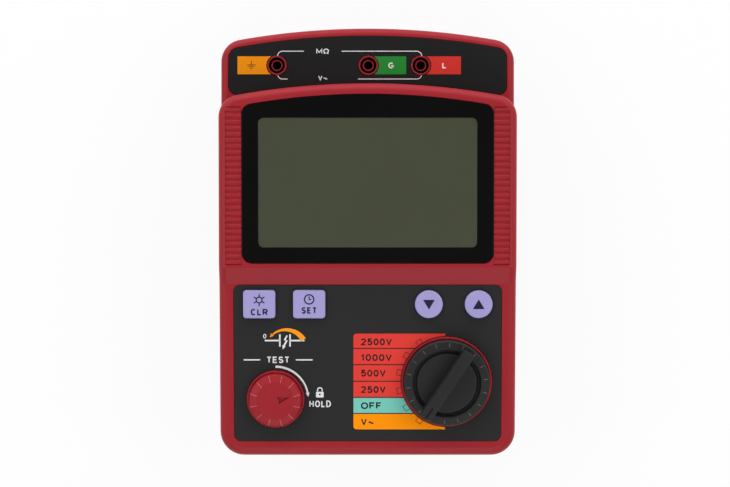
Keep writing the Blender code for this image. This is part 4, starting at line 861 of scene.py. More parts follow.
class TESTER_OT_front_housing(bpy.types.Operator):
    """Front half of the case, with its rounded rims, recesses, holes and raised rings"""

    bl_idname = "tester.front_housing"
    bl_label = "Front housing"

    def execute(self, context):
        case = context.scene.tester_case
        hood = plate([hood_outline(case)], -PAST, 0.0970)
        rim = ("ROUND", (case.hood_edge, case.edge_steps))
        hood = evaluated(hood, [("INTERSECT", side_profile(case, 0.0)), rim])
        block = plate([case_outline(case)], 0.0, TERMINAL_HEIGHT)
        block = evaluated(block, [("ROUND", (case.terminal_edge, case.edge_steps))])
        room = plate([hood_outline(case, WALL)], -0.001, 0.0770)
        room = evaluated(room, [("INTERSECT", side_profile(case, FACE_WALL))])
        below = box((-0.2, 0.2), (-0.3, 0.3), (-0.1, PARTING_HEIGHT))
        inside = plate([case_outline(case, WALL)], 0.0, TERMINAL_HEIGHT - FACE_WALL)
        steps = [("UNION", block), ("DIFFERENCE", below), ("DIFFERENCE", inside), ("DIFFERENCE", room)]
        shell = tidied(evaluated(hood, steps + front_tools(case)), 0)
        piece(
            "front_shell", shell, slot_finish("red"),
            stands_for=["front_housing"], sharp=17, even=True,
        )
        return {"FINISHED"}


def rib(length, width, rise, sunk):
    """One rounded grip rib along X, its foot below the floor of the groove."""
    across, along = 10, 14
    work = bmesh.new()
    grid = []
    for i in range(along + 1):
        x = -math.cos(math.pi * i / along)
        row = []
        for j in range(across + 1):
            y = -math.cos(math.pi * j / across)
            swell = max(0.0, 1 - abs(x) ** 40) ** 0.5 * max(0.0, 1 - abs(y) ** 2.6) ** 0.5
            row.append(work.verts.new((x * length / 2, y * width / 2, rise * swell - sunk)))
        grid.append(row)
    for i in range(along):
        for j in range(across):
            work.faces.new((grid[i][j], grid[i + 1][j], grid[i + 1][j + 1], grid[i][j + 1]))
    rim = [row[0] for row in grid] + grid[-1][1:] + [row[-1] for row in grid[-2::-1]] + grid[0][-2:0:-1]
    foot = [work.verts.new((v.co.x, v.co.y, -2 * sunk)) for v in rim]
    middle = work.verts.new((0.0, 0.0, -2 * sunk))
    for number in range(len(rim)):
        after = (number + 1) % len(rim)
        work.faces.new((rim[after], rim[number], foot[number], foot[after]))
        work.faces.new((foot[after], foot[number], middle))
    return tidied(plain_mesh(work), 0)


class TESTER_OT_grips(bpy.types.Operator):
    """Ribbed grips on both sides of the window"""

    bl_idname = "tester.grips"
    bl_label = "Grip ribs"

    def execute(self, context):
        case = context.scene.tester_case
        bar = rib(RIB_LENGTH + 0.0003, case.rib_width, case.rib_rise, 0.0001)
        shape = [moved(bar.copy(), (s * RIB_REACH, 0.0, 0.0)) for s in (-1, 1)]
        start = (0.0, RIB_START, -case.rib_rise)
        red = slot_finish("red")
        ribs = copies(joined(shape), case.rib_count, red, start, (0.0, case.rib_pitch, 0.0))
        piece("grip_ribs", moved(ribs, DISPLAY), red, sharp=60)
        return {"FINISHED"}


class TESTER_OT_rear_housing(bpy.types.Operator):
    """Rear half of the case, with the openings for its cover, feet and screws"""

    bl_idname = "tester.rear_housing"
    bl_label = "Rear housing"

    def execute(self, context):
        case = context.scene.tester_case
        width, length, corner = COVER
        tub = plate([case_outline(case)], STANDOFF, 0.0500)
        above = box((-0.2, 0.2), (-0.3, 0.3), (REAR_TOP, 0.1))
        room = plate([case_outline(case, WALL)], FLOOR_TOP, 0.1)
        lid = shifted(rounded_box(width + 2 * FIT, length + 2 * FIT, corner + FIT), (0.0, COVER_CENTRE))
        opening = shifted(rounded_box(width - 0.004, 0.0612, corner), (0.0, COVER_CENTRE))
        foot_seat, boss_radius, head_bore = 0.0056, 0.0050, 0.0037
        seats = [plate([lid], -0.01, 0.0039)]
        bosses, bores = [], []
        for x in (-1, 1):
            for y in FEET[1:]:
                seats.append(rod(foot_seat, -0.01, 0.0035, (x * FEET[0], y)))
            for y in CASE_SCREWS[1:]:
                place = (x * CASE_SCREWS[0], y)
                bosses.append(rod(boss_radius, FLOOR_TOP - 0.001, REAR_TOP, place))
                bores.append(rod(head_bore, -0.01, 0.0160, place))
        steps = [
            ("ROUND", (case.rear_edge, case.edge_steps)), ("DIFFERENCE", above), ("DIFFERENCE", room),
            ("DIFFERENCE", joined(seats)), ("DIFFERENCE", plate([opening], -0.01, 0.01)),
            ("UNION", joined(bosses)), ("DIFFERENCE", joined(bores)),
        ]
        tub = tidied(evaluated(tub, steps), 0)
        piece(
            "rear_tub", tub, slot_finish("red"),
            stands_for=["rear_housing"], sharp=17, even=True,
        )
        return {"FINISHED"}


class TESTER_OT_battery_cover(bpy.types.Operator):
    """Screwed lid under the batteries"""

    bl_idname = "tester.battery_cover"
    bl_label = "Battery cover"

    def execute(self, context):
        width, length, corner = COVER
        outline = shifted(rounded_box(width, length, corner), (0.0, COVER_CENTRE))
        holes = [circle(0.0021, (0.0, y), 36) for y in COVER_SCREWS]
        lid = plate([outline, *holes], STANDOFF, 0.0036, 0.0003)
        red = slot_finish("red")
        piece("cover_plate", lid, red, stands_for=["battery_cover"], even=True)
        return {"FINISHED"}


class TESTER_OT_feet(bpy.types.Operator):
    """Four round rubber feet"""

    bl_idname = "tester.feet"
    bl_label = "Feet"

    def execute(self, context):
        profile = filleted([
            (0.0, 0.0002, 0.0), (0.0032, 0.0002, 0.0004), (0.0036, 0.0, 0.0003), (0.0053, 0.0, 0.0006),
            (0.0053, 0.0032, 0.0), (0.0, 0.0032, 0.0),
        ])
        shape = joined([moved(lathe(profile, 48), (x * FEET[0], 0.0, 0.0)) for x in (-1, 1)])
        rubber = slot_finish("rubber")
        feet = copies(shape, 2, rubber, (0.0, FEET[1], 0.0), (0.0, FEET[2] - FEET[1], 0.0))
        piece("feet", feet, rubber, stands_for=[f"foot_{i}" for i in range(1, 5)])
        return {"FINISHED"}


def screw(head_radius, head, shank, length, slot_depth):
    """A slotted screw whose head faces down, seated at the origin."""
    profile = filleted([
        (0.0, length, 0.0), (shank, length, 0.0), (shank, 0.0, 0.0), (head_radius, 0.0, 0.0),
        (head_radius, -head, head * 0.3), (0.0, -head, 0.0),
    ])
    slot = box((-0.01, 0.01), (-0.00045, 0.00045), (-head - 0.002, slot_depth - head))
    return tidied(evaluated(lathe(profile, 36), [("DIFFERENCE", slot)]), 0)


class TESTER_OT_screws(bpy.types.Operator):
    """Four case screws and two cover screws"""

    bl_idname = "tester.screws"
    bl_label = "Screws"

    def execute(self, context):
        steel = slot_finish("steel")
        long = screw(0.0034, 0.0022, 0.0015, 0.0260, 0.0010)
        shape = joined([moved(long.copy(), (x * CASE_SCREWS[0], 0.0, 0.0)) for x in (-1, 1)])
        rows = CASE_SCREWS[1:]
        made = copies(shape, 2, steel, (0.0, rows[0], 0.0157), (0.0, rows[1] - rows[0], 0.0))
        names = [f"case_screw_{i}" for i in range(1, 5)]
        piece("case_screws", made, steel, stands_for=names)
        short = screw(0.0018, 0.0009, 0.0010, 0.0061, 0.0004)
        rows = COVER_SCREWS
        made = copies(short, 2, steel, (0.0, rows[0], STANDOFF + 0.0009), (0.0, rows[1] - rows[0], 0.0))
        piece("cover_screws", made, steel, stands_for=["cover_screw_1", "cover_screw_2"])
        return {"FINISHED"}


# The front face


def clear_finish():
    """Nearly clear plastic."""
    made = finish("clear_pane", tone((40, 42, 38)), 0.24, 0.0, 0.05, 0.01, 0.0010, 0.2)
    made.node_tree.nodes["Principled BSDF"].inputs["Alpha"].default_value = 0.08
    return made


class TESTER_OT_window(bpy.types.Operator):
    """Black-bordered window and its clear pane"""

    bl_idname = "tester.window"
    bl_label = "Window"

    def execute(self, context):
        case = context.scene.tester_case
        border = plate([window_outline(case), view_outline()], WINDOW_BOTTOM, WINDOW_TOP, 0.0002)
        piece(
            "window_border", moved(border, DISPLAY), slot_finish("window"),
            stands_for=["display_window"], even=True,
        )
        pane = plate([view_outline(-VIEW_GAP)], WINDOW_TOP - 0.00015, WINDOW_TOP)
        piece("window_pane", moved(pane, DISPLAY), clear_finish())
        width, length = VIEW[:2]
        margin = shifted(rounded_box(width + 0.006, length + 0.006, 0.0004), (0.0, VIEW_SHIFT))
        glass = joined([
            plate([view_outline(-VIEW_GAP)], -0.0034, WINDOW_TOP - 0.0002),
            plate([margin], -0.0057, -0.0033),
        ])
        piece(
            "display_glass", moved(glass, DISPLAY), slot_finish("lcd"),
            stands_for=["lcd_panel"],
        )
        return {"FINISHED"}


class TESTER_OT_sheets(bpy.types.Operator):
    """Charcoal sheets round the sockets and the controls"""

    bl_idname = "tester.sheets"
    bl_label = "Printed sheets"

    def execute(self, context):
        case = context.scene.tester_case
        holes = [circle(SOCKET_RADIUS + FIT, (x, 0.0)) for x in SOCKETS.values()]
        sheet = plate([terminal_outline(case), *holes], -SHEET, 0.0, SHEET_EDGE)
        piece(
            "terminal_sheet", moved(sheet, TERMINAL), slot_finish("dark"),
            stands_for=["terminal_overlay"], even=True,
        )
        holes = key_holes(FIT)
        holes.append(circle(KNOB_RING + FIT, KNOB_PLACE, 120))
        holes.append(circle(TEST_RING + FIT, TEST_PLACE, 96))
        sheet = plate([control_outline(), *holes], -SHEET, 0.0, SHEET_EDGE)
        piece(
            "control_sheet", moved(sheet, CONTROL), slot_finish("charcoal"),
            stands_for=["control_overlay"], even=True,
        )
        return {"FINISHED"}


def printed(prefix, place, inks, body="case"):
    """One piece for each printed colour, made of all that is printed in it."""
    for name, meshes in inks.items():
        piece(f"{prefix}_{name}", moved(joined(meshes), place), ink_finish(name), body)


def socket_patch(x, low, high, side):
    """A coloured field that ends at the edge of its socket."""
    hole = SOCKET_RADIUS + FIT + 0.0001
    half = (high - low) / 2
    spread = math.degrees(math.asin(half / hole))
    far = x[0] if side < 0 else x[1]
    pivot = (x[1] if side < 0 else x[0], (low + high) / 2)
    facing = 180 if side < 0 else 0
    curve = arc(pivot, hole, facing - spread, facing + spread, 16)
    ends = [(far, high), (far, low)] if side > 0 else [(far, low), (far, high)]
    return curve + ends


def earth_sign(face, x, y, size):
    """Lines of an earth mark."""
    line = face.line * 0.9
    marks = [ink(face, ribbon([(x, y + size), (x, y + 0.05 * size)], line))]
    for number, half in enumerate((1.0, 0.62, 0.24)):
        level_y = y - number * size * 0.42
        marks.append(ink(face, ribbon([(x - half * size, level_y), (x + half * size, level_y)], line)))
    return marks


class TESTER_OT_terminal_print(bpy.types.Operator):
    """Coloured fields and lines round the sockets"""

    bl_idname = "tester.terminal_print"
    bl_label = "Terminal print"

    def execute(self, context):
        face = context.scene.tester_face
        fields = {
            "earth_patch": [ink(face, socket_patch((-0.0618, SOCKETS["earth"]), -0.0042, 0.0043, -1))],
            "guard_patch": [ink(face, socket_patch((SOCKETS["guard"], 0.0183), -0.0042, 0.0043, 1))],
            "line_patch": [ink(face, socket_patch((SOCKETS["line"], 0.0443), -0.0042, 0.0043, 1))],
        }
        upper, lower = 0.00675, -0.00645
        bend = 0.0024
        left, right = -0.0404, 0.0233
        lines = [
            arc((left, upper - bend), bend, 180, 90) + [(-0.0303, upper)],
            [(-0.01235, upper)] + arc((right, upper - bend), bend, 90, 0),
            arc((left, lower + bend), bend, 180, 270) + [(-0.0380, lower)],
            [(-0.0046, lower)] + arc((right, lower + bend), bend, 270, 360),
        ]
        white = [ink(face, ribbon(line, face.line)) for line in lines]
        white.append(words("MΩ", -0.0244, upper - 0.0012, -0.0183, upper + 0.0012, face, 0.19))
        white.append(words("V~", -0.0235, lower - 0.0007, -0.0190, lower + 0.0017, face, 0.19))
        white.append(words("G", 0.0098, -0.0014, 0.0124, 0.0014, face))
        white.append(words("L", 0.0354, -0.0014, 0.0374, 0.0014, face))
        fields["white"] = white
        fields["dark"] = earth_sign(face, -0.0552, 0.0002, 0.0020)
        for name in ("white", "dark"):
            for mesh in fields[name]:
                moved(mesh, (0.0, 0.0, face.ink_rise / 2))
        printed("terminal_print", TERMINAL, fields)
        return {"FINISHED"}


def range_field(face, low, high, head, foot):
    """A range field that runs up to the ring of the knob, rounded at the head or foot of the row."""
    left, right = -0.0067, 0.03665
    hole = KNOB_RING + FIT + 0.0001
    edge = []
    for number in range(25):
        v = low + (high - low) * number / 24
        inside = hole ** 2 - (v - KNOB_PLACE[1]) ** 2
        edge.append((min(right, KNOB_PLACE[0] - math.sqrt(inside)) if inside > 0 else right, v))
    corner = 0.0015
    top = arc((left + corner, high - corner), corner, 90, 180, 8) if head else [(left, high)]
    bottom = arc((left + corner, low + corner), corner, 180, 270, 8) if foot else [(left, low)]
    return ink(face, edge + top + bottom)


def range_marks(face):
    """Open boxes round the knob, one for each range."""
    line = face.line * 0.65
    near, far, half = KNOB_RING + FIT + 0.0002, 0.02385, 0.00135
    shape = ink(face, ribbon([(near, half), (far, half), (far, -half), (near, -half)], line))
    marks = copies(shape, 6, ink_finish("dark"), first=124.8, turn=22.14)
    return moved(marks, (*KNOB_PLACE, 0.0))


def discharge_sign(face):
    """A capacitor with a spark, and the swept arc over it."""
    middle, line = 0.01084, 0.00075
    white = [
        ink(face, ribbon([(-0.0485, middle), (-0.0414, middle)], line)),
        ink(face, ribbon([(-0.0366, middle), (-0.0298, middle)], line)),
        ink(face, ribbon([(-0.0414, 0.0138), (-0.0414, 0.0080)], line)),
        ink(face, ribbon([(-0.0366, 0.0138), (-0.0366, 0.0080)], line)),
        ink(face, [
            (-0.0383, 0.0134), (-0.0396, 0.0112), (-0.0387, 0.0108), (-0.0398, 0.0085),
            (-0.0403, 0.0087), (-0.0401, 0.0066), (-0.0386, 0.0080), (-0.0391, 0.0081),
            (-0.0377, 0.0108), (-0.0386, 0.0112), (-0.0377, 0.0132),
        ]),
        words("0", -0.0493, 0.0118, -0.0478, 0.0140, face, 0.16),
    ]
    pivot, radius = (-0.0386, 0.0064), 0.0096
    sweep = [(135 - 105 * i / 24) for i in range(25)]
    spine = [arc(pivot, radius, a, a, 1)[0] for a in sweep]
    band = ribbon(spine, [0.0005 + 0.0022 * i / 24 for i in range(25)])
    head = turned([(-0.0012, 0.0), (0.0008, 0.0009), (0.0008, -0.0009)], 50)
    return white, [ink(face, band), ink(face, shifted(head, spine[0]))]


def lock_sign(face, x, y):
    """A closed padlock."""
    body = shifted(rounded_box(0.0036, 0.0027, 0.0003, 4), (x, y - 0.0012))
    hole = circle(0.00045, (x, y - 0.0011), 20)
    shackle = [(x - 0.0011, y + 0.0003)] + arc((x, y + 0.0010), 0.0011, 180, 0, 14)
    shackle.append((x + 0.0011, y + 0.0003))
    return [ink(face, body, hole), ink(face, ribbon(shackle, 0.00055))]


class TESTER_OT_control_print(bpy.types.Operator):
    """Range fields, lines and signs round the controls"""

    bl_idname = "tester.control_print"
    bl_label = "Control print"

    def execute(self, context):
        face = context.scene.tester_face
        bounds = (0.01413, 0.00708, -0.00065, -0.00859, -0.01634, -0.02402, -0.03165)
        names = ("2500V", "1000V", "500V", "250V", "OFF", "V~")
        widths = (0.0146, 0.0146, 0.0117, 0.0117, 0.0098, 0.0062)
        inks = {"range_red": [], "off_teal": [], "volts_orange": [], "dark": [range_marks(face)]}
        gap = face.separator / 2
        left = -0.0032
        for number, (text, width) in enumerate(zip(names, widths)):
            high = bounds[number] - (gap if number else 0.0)
            low = bounds[number + 1] + (gap if number < 5 else 0.0)
            field = range_field(face, low, high, number == 0, number == 5)
            inks[("range_red", "off_teal", "volts_orange")[max(0, number - 3)]].append(field)
            middle = (high + low) / 2 - (0.0005 if number < 2 else 0.0001)
            half = face.letter / 2
            box_ends = (left, middle - half, left + width, middle + half)
            inks["dark"].append(words(text, *box_ends, face, 0.21, 0.15))
        x = TEST_PLACE[0]
        sweep = arc(TEST_PLACE, 0.0154, 90, 11, 24)
        tip = arc(TEST_PLACE, 0.0154, 8, 8, 1)[0]
        head = shifted(turned([(0.0, -0.0012), (0.0009, 0.0008), (-0.0009, 0.0008)], 9), tip)
        sign, amber = discharge_sign(face)
        white = sign + lock_sign(face, -0.0226, -0.0138)
        taper = [0.0011 - 0.0003 * i / 24 for i in range(25)]
        white += [ink(face, ribbon(sweep, taper)), ink(face, head)]
        white.append(words("HOLD", -0.0276, -0.0210, -0.0174, -0.0178, face, 0.18))
        white.append(words("TEST", x - 0.0042, 0.0001, x + 0.0066, 0.0032, face, 0.19))
        for low, high in ((-0.0585, -0.0507), (-0.0339, -0.0260)):
            white.append(ink(face, ribbon([(low, 0.00165), (high, 0.00165)], 0.0006)))
        inks["white"] = white
        inks["amber"] = amber
        for mesh in inks["dark"]:
            moved(mesh, (0.0, 0.0, face.ink_rise / 2))
        printed("control_print", CONTROL, inks)
        return {"FINISHED"}


# What moves, and the sockets


class TESTER_OT_sockets(bpy.types.Operator):
    """Three shrouded test sockets"""

    bl_idname = "tester.sockets"
    bl_label = "Sockets"

    def execute(self, context):
        red, black = slot_finish("red"), slot_finish("black")
        lip, sleeve, bore = SOCKET_RADIUS - 0.00075, 0.0026, 0.0021
        shroud = filleted([
            (SOCKET_RADIUS, 0.0003, 0.00025), (SOCKET_RADIUS, -0.0033, 0.0), (0.00645, -0.0033, 0.0),
            (0.00645, -0.0048, 0.0), (SOCKET_RADIUS, -0.0048, 0.0), (SOCKET_RADIUS, -0.0240, 0.0),
            (0.0029, -0.0240, 0.0), (0.0029, -0.0130, 0.0), (bore, -0.0130, 0.0),
            (bore, -0.0005, 0.00015), (sleeve, -0.0005, 0.00015), (sleeve, SOCKET_WELL, 0.0),
            (lip, SOCKET_WELL, 0.0), (lip, 0.0003, 0.00025),
        ])
        skin = 0.00012
        liner = [
            (lip, -0.0008), (lip, SOCKET_WELL), (sleeve, SOCKET_WELL), (sleeve, -0.0020),
            (sleeve + skin, -0.0020), (sleeve + skin, SOCKET_WELL + skin),
            (lip - skin, SOCKET_WELL + skin), (lip - skin, -0.0008),
        ]
        # Painted shade: a thin black tube with a floor, laid inside the bore over the red shroud and
        # the brass contact, stands in for the dark of the deep narrow bore
        bore_shade = [
            (bore - skin / 2, -0.0012), (bore - skin / 2, -0.0228), (0.0, -0.0228), (0.0, -0.0226),
            (bore - skin, -0.0226), (bore - skin, -0.0012),
        ]
        for name, x in SOCKETS.items():
            place = TERMINAL @ Matrix.Translation((x, 0.0, 0.0))
            made = moved(lathe(shroud, 64, True), place)
            piece(f"{name}_shroud", made, red, stands_for=[f"{name}_socket"])
            made = moved(joined([lathe(liner, 64, True), lathe(bore_shade, 64, True)]), place)
            piece(f"{name}_well", made, black)
        return {"FINISHED"}


class TESTER_OT_knob(bpy.types.Operator):
    """Range knob with its bar, pointer slot and rim lines"""

    bl_idname = "tester.knob"
    bl_label = "Range knob"

    def execute(self, context):
        controls = context.scene.tester_controls
        black = slot_finish("black")
        profile = filleted([
            (0.0, 0.0049, 0.0), (0.0140, 0.0049, 0.0006), (0.0147, 0.0036, 0.0003),
            (0.0154, 0.0036, 0.0003), (0.0161, 0.0060, 0.0005), (KNOB_RADIUS, 0.0058, 0.0008),
            (KNOB_RADIUS, -0.0005, 0.0003), (0.0, -0.0005, 0.0),
        ])
        bar = plate([rounded_box(*KNOB_BAR, 6)], 0.0010, 0.0130, 0.0005)
        mark = box((0.0125, 0.0200), (-0.00045, 0.00045), (0.0123, 0.0200))
        bore = rod(STEM_HOLE, -0.01, 0.0038)
        steps = [("UNION", bar), ("DIFFERENCE", mark), ("DIFFERENCE", bore)]
        body = tidied(evaluated(lathe(profile, 120), steps), 0)
        place = KNOB @ Matrix.Rotation(math.radians(KNOB_REST), 4, "Z")
        piece(
            "knob_body", moved(body, place), black, "selector",
            ["range_knob"], sharp=28, even=True,
        )
        # Painted highlight: the thin grey strips on the rim stand in for light caught by the edges of
        # its fine grooves
        tick = box((0.0174, 0.0193), (-0.00010, 0.00010), (0.0056, 0.00602))
        tick_highlight = finish("painted_tick_highlight", tone((112, 112, 110)), 0.5, drift=0.1, grain=0.05)
        ticks = copies(tick, controls.knob_ticks, tick_highlight, first=10.0, turn=360.0 / controls.knob_ticks)
        piece("knob_ticks", moved(ticks, place), tick_highlight, "selector")
        return {"FINISHED"}


def coil(radius, wire, low, high, turns):
    """A closed coil of round wire."""
    steps, sides = 36, 12
    total = steps * turns
    pitch = (high - low) / total
    stride = radius * 2 * math.pi / steps
    work = bmesh.new()
    rings = []
    for number in range(total + 1):
        angle = 2 * math.pi * number / steps
        out = Vector((math.cos(angle), math.sin(angle), 0.0))
        along = Vector((-out.y * stride, out.x * stride, pitch)).normalized()
        up = along.cross(out).normalized()
        centre = out * radius + Vector((0.0, 0.0, low + pitch * number))
        ring = []
        for side in range(sides):
            turn = 2 * math.pi * side / sides
            skin = out * (wire * math.cos(turn)) + up * (wire * math.sin(turn))
            ring.append(work.verts.new(centre + skin))
        rings.append(ring)
    for back, on in zip(rings, rings[1:]):
        for side in range(sides):
            after = (side + 1) % sides
            work.faces.new((back[side], back[after], on[after], on[side]))
    work.faces.new(rings[0])
    work.faces.new(rings[-1][::-1])
    return tidied(plain_mesh(work), 0)


class TESTER_OT_test_button(bpy.types.Operator):
    """Test button with its faceted shoulder, and the spring under it"""

    bl_idname = "tester.test_button"
    bl_label = "Test button"

    def execute(self, context):
        controls = context.scene.tester_controls
        red = slot_finish("red")
        step = 360.0 / controls.cap_facets
        crest, shoulder = TEST_RADIUS - 0.0001, 0.0052

        def facets(radius, height, angle):
            if height < 0.0040 or radius < 0.0085:
                return radius
            away = (math.degrees(angle) - TEST_POINTER) % step / step
            outward = max(0.0, min(1.0, (radius - 0.0088) / 0.0012))
            upward = max(0.0, min(1.0, (height - 0.0045) / 0.0005))
            return radius - controls.facet_depth * math.sin(math.pi * away) * outward * upward

        profile = filleted([
            (0.0, TEST_TOP, 0.0), (0.0092, TEST_TOP - 0.0001, 0.0012), (crest, shoulder, 0.0004),
            (TEST_RADIUS, 0.0044, 0.0004), (TEST_RADIUS, -0.0014, 0.0), (0.0109, -0.0014, 0.0),
            (0.0109, TEST_CEILING, 0.0), (0.0050, TEST_CEILING, 0.0), (0.0050, -0.0014, 0.0),
            (STEM_HOLE, -0.0014, 0.0), (STEM_HOLE, TEST_CEILING, 0.0), (0.0, TEST_CEILING, 0.0),
        ])
        pointer = [(0.0070, 0.0), (0.0012, 0.0016), (0.0019, 0.0), (0.0012, -0.0016)]
        notch = plate([turned(pointer, TEST_POINTER)], TEST_TOP - 0.0009, TEST_TOP + 0.002)
        cap = tidied(evaluated(lathe(profile, 120, shape=facets), [("DIFFERENCE", notch)]), 0)
        piece("cap_body", moved(cap, TEST), red, "test_cap", ["test_cap"], sharp=40, even=True)
        # Painted highlight: the pale pink strips along the shoulder's facet ridges stand in for light
        # caught by those ridges
        ridge = box((0.0089, 0.0124), (-0.00013, 0.00013), (-0.0002, 0.00006))
        lean = math.atan2(TEST_TOP - 0.0001 - shoulder, crest - 0.0092)
        tilt = Matrix.Translation((0.0092, 0.0, TEST_TOP - 0.0001)) @ Matrix.Rotation(lean, 4, "Y")
        ridge.transform(tilt @ Matrix.Translation((-0.0092, 0.0, 0.0)))
        pale = finish("painted_ridge_highlight", tone((190, 98, 104)), 0.45, drift=0.08, grain=0.05)
        ridges = copies(ridge, controls.cap_facets, pale, first=TEST_POINTER, turn=step)
        piece("cap_ridges", moved(ridges, TEST), pale, "test_cap")
        spring = coil(0.0079, 0.0006, TEST_WELL + 0.0009, TEST_CEILING - 0.0009, controls.spring_turns)
        steel = slot_finish("steel")
        made = piece("return_spring", moved(spring, TEST), steel, "case", ["test_spring"])
        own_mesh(made)
        return {"FINISHED"}


def sun_sign(face, y):
    """A small lamp mark with six rays."""
    marks = [ink(face, circle(0.00165, (0.0, y), 32), circle(0.00108, (0.0, y), 32))]
    for number in range(6):
        ray = shifted(turned([(0.00165, 0.0), (0.0029, 0.0)], 30 + 60 * number), (0.0, y))
        marks.append(ink(face, ribbon(ray, 0.00055)))
    return marks


def clock_sign(face, y):
    """A small clock mark."""
    marks = [ink(face, circle(0.0025, (0.0, y), 40), circle(0.00188, (0.0, y), 40))]
    hands = [(0.0, y + 0.0015), (0.0, y), (0.0011, y)]
    return marks + [ink(face, ribbon(hands, 0.0005))]


class TESTER_OT_keys(bpy.types.Operator):
    """Four lavender keys and their marks"""

    bl_idname = "tester.keys"
    bl_label = "Keys"

    def execute(self, context):
        face = context.scene.tester_face
        lavender = slot_finish("lavender")
        up = [(0.0, 0.0024), (-0.00275, -0.0022), (0.00275, -0.0022)]
        marks = {
            "light_key": sun_sign(face, 0.0021),
            "timer_key": clock_sign(face, 0.0024),
            "down_key": [ink(face, turned(up, 180))],
            "up_key": [ink(face, up)],
        }
        marks["light_key"].append(words("CLR", -0.0040, -0.0052, 0.0040, -0.0021, face, 0.22))
        marks["timer_key"].append(words("SET", -0.0036, -0.0044, 0.0036, -0.0013, face, 0.22))
        grown = {name: loop for name, (loop, x) in key_outlines(0.0012).items()}
        for name, (loop, x) in key_outlines().items():
            place = CONTROL @ Matrix.Translation((x, KEY_ROW, 0.0))
            top = plate([loop], -0.0038, KEY_HEIGHT, 0.0005)
            flange = plate([grown[name]], -0.0043, -0.0033)
            stem = rod(0.0025, stem_end(name), -0.0040)
            key = moved(joined([top, flange, stem]), place)
            piece(f"{name}_top", key, lavender, name, [name], even=True)
            above = place @ Matrix.Translation((0.0, 0.0, KEY_HEIGHT))
            printed(f"{name}_mark", above, {"key_dark": marks[name]}, name)
        return {"FINISHED"}


def stem_end(name):
    """Height of a key's stem end over the control face, from the frame."""
    low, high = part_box(name)
    return -((high.z - low.z) / math.cos(math.radians(CONTROL_TILT)) - KEY_HEIGHT) * 0.9


class TESTER_OT_inner(bpy.types.Operator):
    """Finishes for the frame's own pieces inside the case"""

    bl_idname = "tester.inner"
    bl_label = "Inner pieces"

    def execute(self, context):
        kinds = {
            "backlight": "white", "lcd_frame": "black", "earth_contact": "brass",
            "guard_contact": "brass", "line_contact": "brass", "knob_shaft": "steel",
            "switch_rotor": "white", "detent": "steel", "test_plunger": "black",
            "test_switch": "black", "keypad": "rubber", "control_board": "board",
            "main_board": "board", "hv_transformer": "yellow", "hv_capacitor": "blue",
            "processor": "black", "buzzer": "black", "battery_tray": "black", "cell": "cell",
            "contact_strip": "steel", "battery_lead_positive": "lead_red",
            "battery_lead_negative": "lead_black",
        }
        for name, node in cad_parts.items():
            if node.hide_render:
                continue
            kind = next(value for start, value in kinds.items() if name.startswith(start))
            node.data.materials.clear()
            node.data.materials.append(slot_finish(kind))
        return {"FINISHED"}


# The stage


def lamp(name, place, size, power):
    """A soft square lamp that faces the object."""
    data = bpy.data.lights.new(name, "AREA")
    data.size = size
    data.energy = power
    made = placed(name, data)
    made.location = place
    made.rotation_euler = (Vector((0.0, 0.0, 0.05)) - Vector(place)).to_track_quat("-Z", "Y").to_euler()
    return made


def floor_finish(colour):
    """A pale floor that keeps a soft shadow and looks white to the camera."""
    made = bpy.data.materials.new("floor")
    made.use_nodes = True
    tree = made.node_tree
    tree.nodes.clear()
    output = add(tree, "ShaderNodeOutputMaterial")
    mix = add(tree, "ShaderNodeMixShader")
    plain = add(tree, "ShaderNodeBsdfDiffuse", (("Color", (*colour, 1.0)),))
    glow = add(tree, "ShaderNodeEmission")
    path = add(tree, "ShaderNodeLightPath")
    seen = add(tree, "ShaderNodeMath")
    seen.operation = "MAXIMUM"
    through = add(tree, "ShaderNodeMath")
    through.operation = "MAXIMUM"
    share = add(tree, "ShaderNodeMath", ((1, GLOW_SHARE),))
    share.operation = "MULTIPLY"
    link(tree, path.outputs["Is Camera Ray"], seen.inputs[0])
    link(tree, path.outputs["Is Glossy Ray"], seen.inputs[1])
    link(tree, seen.outputs["Value"], through.inputs[0])
    link(tree, path.outputs["Is Transmission Ray"], through.inputs[1])
    link(tree, through.outputs["Value"], share.inputs[0])
    link(tree, share.outputs["Value"], mix.inputs["Fac"])
    link(tree, plain.outputs["BSDF"], mix.inputs[1])
    link(tree, glow.outputs["Emission"], mix.inputs[2])
    link(tree, mix.outputs["Shader"], output.inputs["Surface"])
    return made


def light_world(stage):
    """A world that is brighter level with the floor than straight above."""
    world = bpy.data.worlds.new("studio")
    bpy.context.scene.world = world
    world.use_nodes = True
    tree = world.node_tree
    back = tree.nodes["Background"]
    place = add(tree, "ShaderNodeTexCoord")
    parts = add(tree, "ShaderNodeSeparateXYZ")
    ramp = add(tree, "ShaderNodeMapRange", (("To Min", stage.horizon), ("To Max", stage.zenith)))
    link(tree, place.outputs["Generated"], parts.inputs["Vector"])
    link(tree, parts.outputs["Z"], ramp.inputs["Value"])
    link(tree, ramp.outputs["Result"], back.inputs["Strength"])
    back.inputs["Color"].default_value = (1.0, 1.0, 1.0, 1.0)


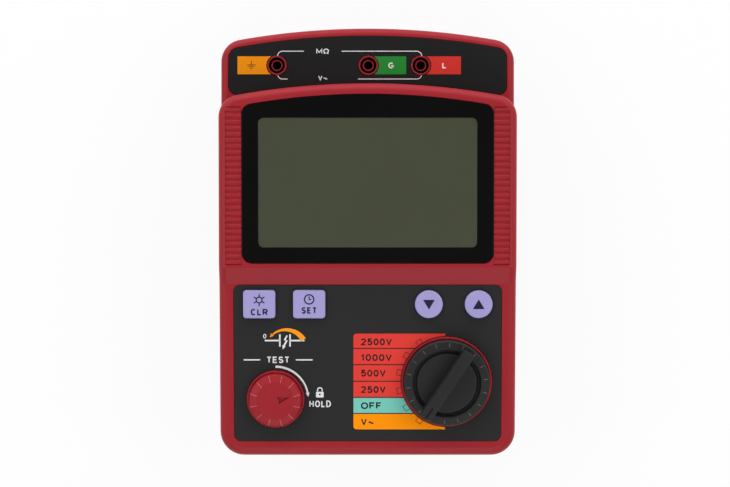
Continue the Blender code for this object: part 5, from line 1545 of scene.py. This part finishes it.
class TESTER_OT_stage(bpy.types.Operator):
    """Floor, lamps, world and camera"""

    bl_idname = "tester.stage"
    bl_label = "Stage"

    def execute(self, context):
        stage = context.scene.tester_stage
        scene = context.scene
        mesh = plate([circle(4.0)], -0.0302, -0.0002)
        mesh.materials.append(floor_finish(stage.floor))
        floor = placed("floor", mesh)
        lamps = [
            lamp("back_left", (-0.90, 1.30, 0.70), 1.2, stage.back / 3),
            lamp("back_middle", (0.0, 1.45, 0.62), 1.1, stage.back / 3),
            lamp("back_right", (0.90, 1.30, 0.70), 1.2, stage.back / 3),
            lamp("front", (0.0, -1.00, 0.85), 1.0, stage.front),
            lamp("left", (-1.00, 0.0, 0.95), 0.8, stage.side),
            lamp("right", (1.00, 0.0, 0.95), 0.8, stage.side),
        ]
        light_world(stage)
        camera = placed("camera", bpy.data.cameras.new("camera"))
        camera.data.sensor_width = 36.0
        camera.data.lens = CAMERA_LENS
        camera.data.clip_start = 0.05
        camera.data.clip_end = 20.0
        camera.location = (*CAMERA_PLACE, stage.camera_height)
        scene.camera = camera
        scene.view_settings.view_transform = "Standard"
        return {"FINISHED"}


STEPS = (
    TESTER_OT_front_housing, TESTER_OT_grips, TESTER_OT_rear_housing, TESTER_OT_battery_cover,
    TESTER_OT_feet, TESTER_OT_screws, TESTER_OT_window, TESTER_OT_sheets, TESTER_OT_terminal_print,
    TESTER_OT_control_print, TESTER_OT_sockets, TESTER_OT_knob, TESTER_OT_test_button,
    TESTER_OT_keys, TESTER_OT_inner, TESTER_OT_stage,
)
SETTINGS = {
    "tester_case": TesterCase, "tester_face": TesterFace, "tester_controls": TesterControls,
    "tester_colours": TesterColours, "tester_stage": TesterStage,
}


class TESTER_PT_panel(bpy.types.Panel):
    """Lists what the add-on builds"""

    bl_idname = "TESTER_PT_panel"
    bl_label = "Tester"
    bl_space_type = "VIEW_3D"
    bl_region_type = "UI"
    bl_category = "Tester"

    def draw(self, context):
        for name in SETTINGS:
            group = getattr(context.scene, name)
            column = self.layout.column(heading=group.__doc__)
            for field in group.__annotations__:
                column.prop(group, field)
        for step in STEPS:
            self.layout.operator(step.bl_idname)


def register():
    """Adds the settings, operators and panel to Blender."""
    for name, group in SETTINGS.items():
        bpy.utils.register_class(group)
        setattr(bpy.types.Scene, name, bpy.props.PointerProperty(type=group))
    for made in (*STEPS, TESTER_PT_panel):
        bpy.utils.register_class(made)


def unregister():
    """Takes them out again."""
    for made in (TESTER_PT_panel, *reversed(STEPS)):
        bpy.utils.unregister_class(made)
    for name, group in reversed(SETTINGS.items()):
        delattr(bpy.types.Scene, name)
        bpy.utils.unregister_class(group)


def main():
    """Builds every piece in order and notes the sizes before and after."""
    register()
    for step in STEPS:
        group, name = step.bl_idname.split(".")
        getattr(getattr(bpy.ops, group), name)()


if __name__ == "__main__":
    main()
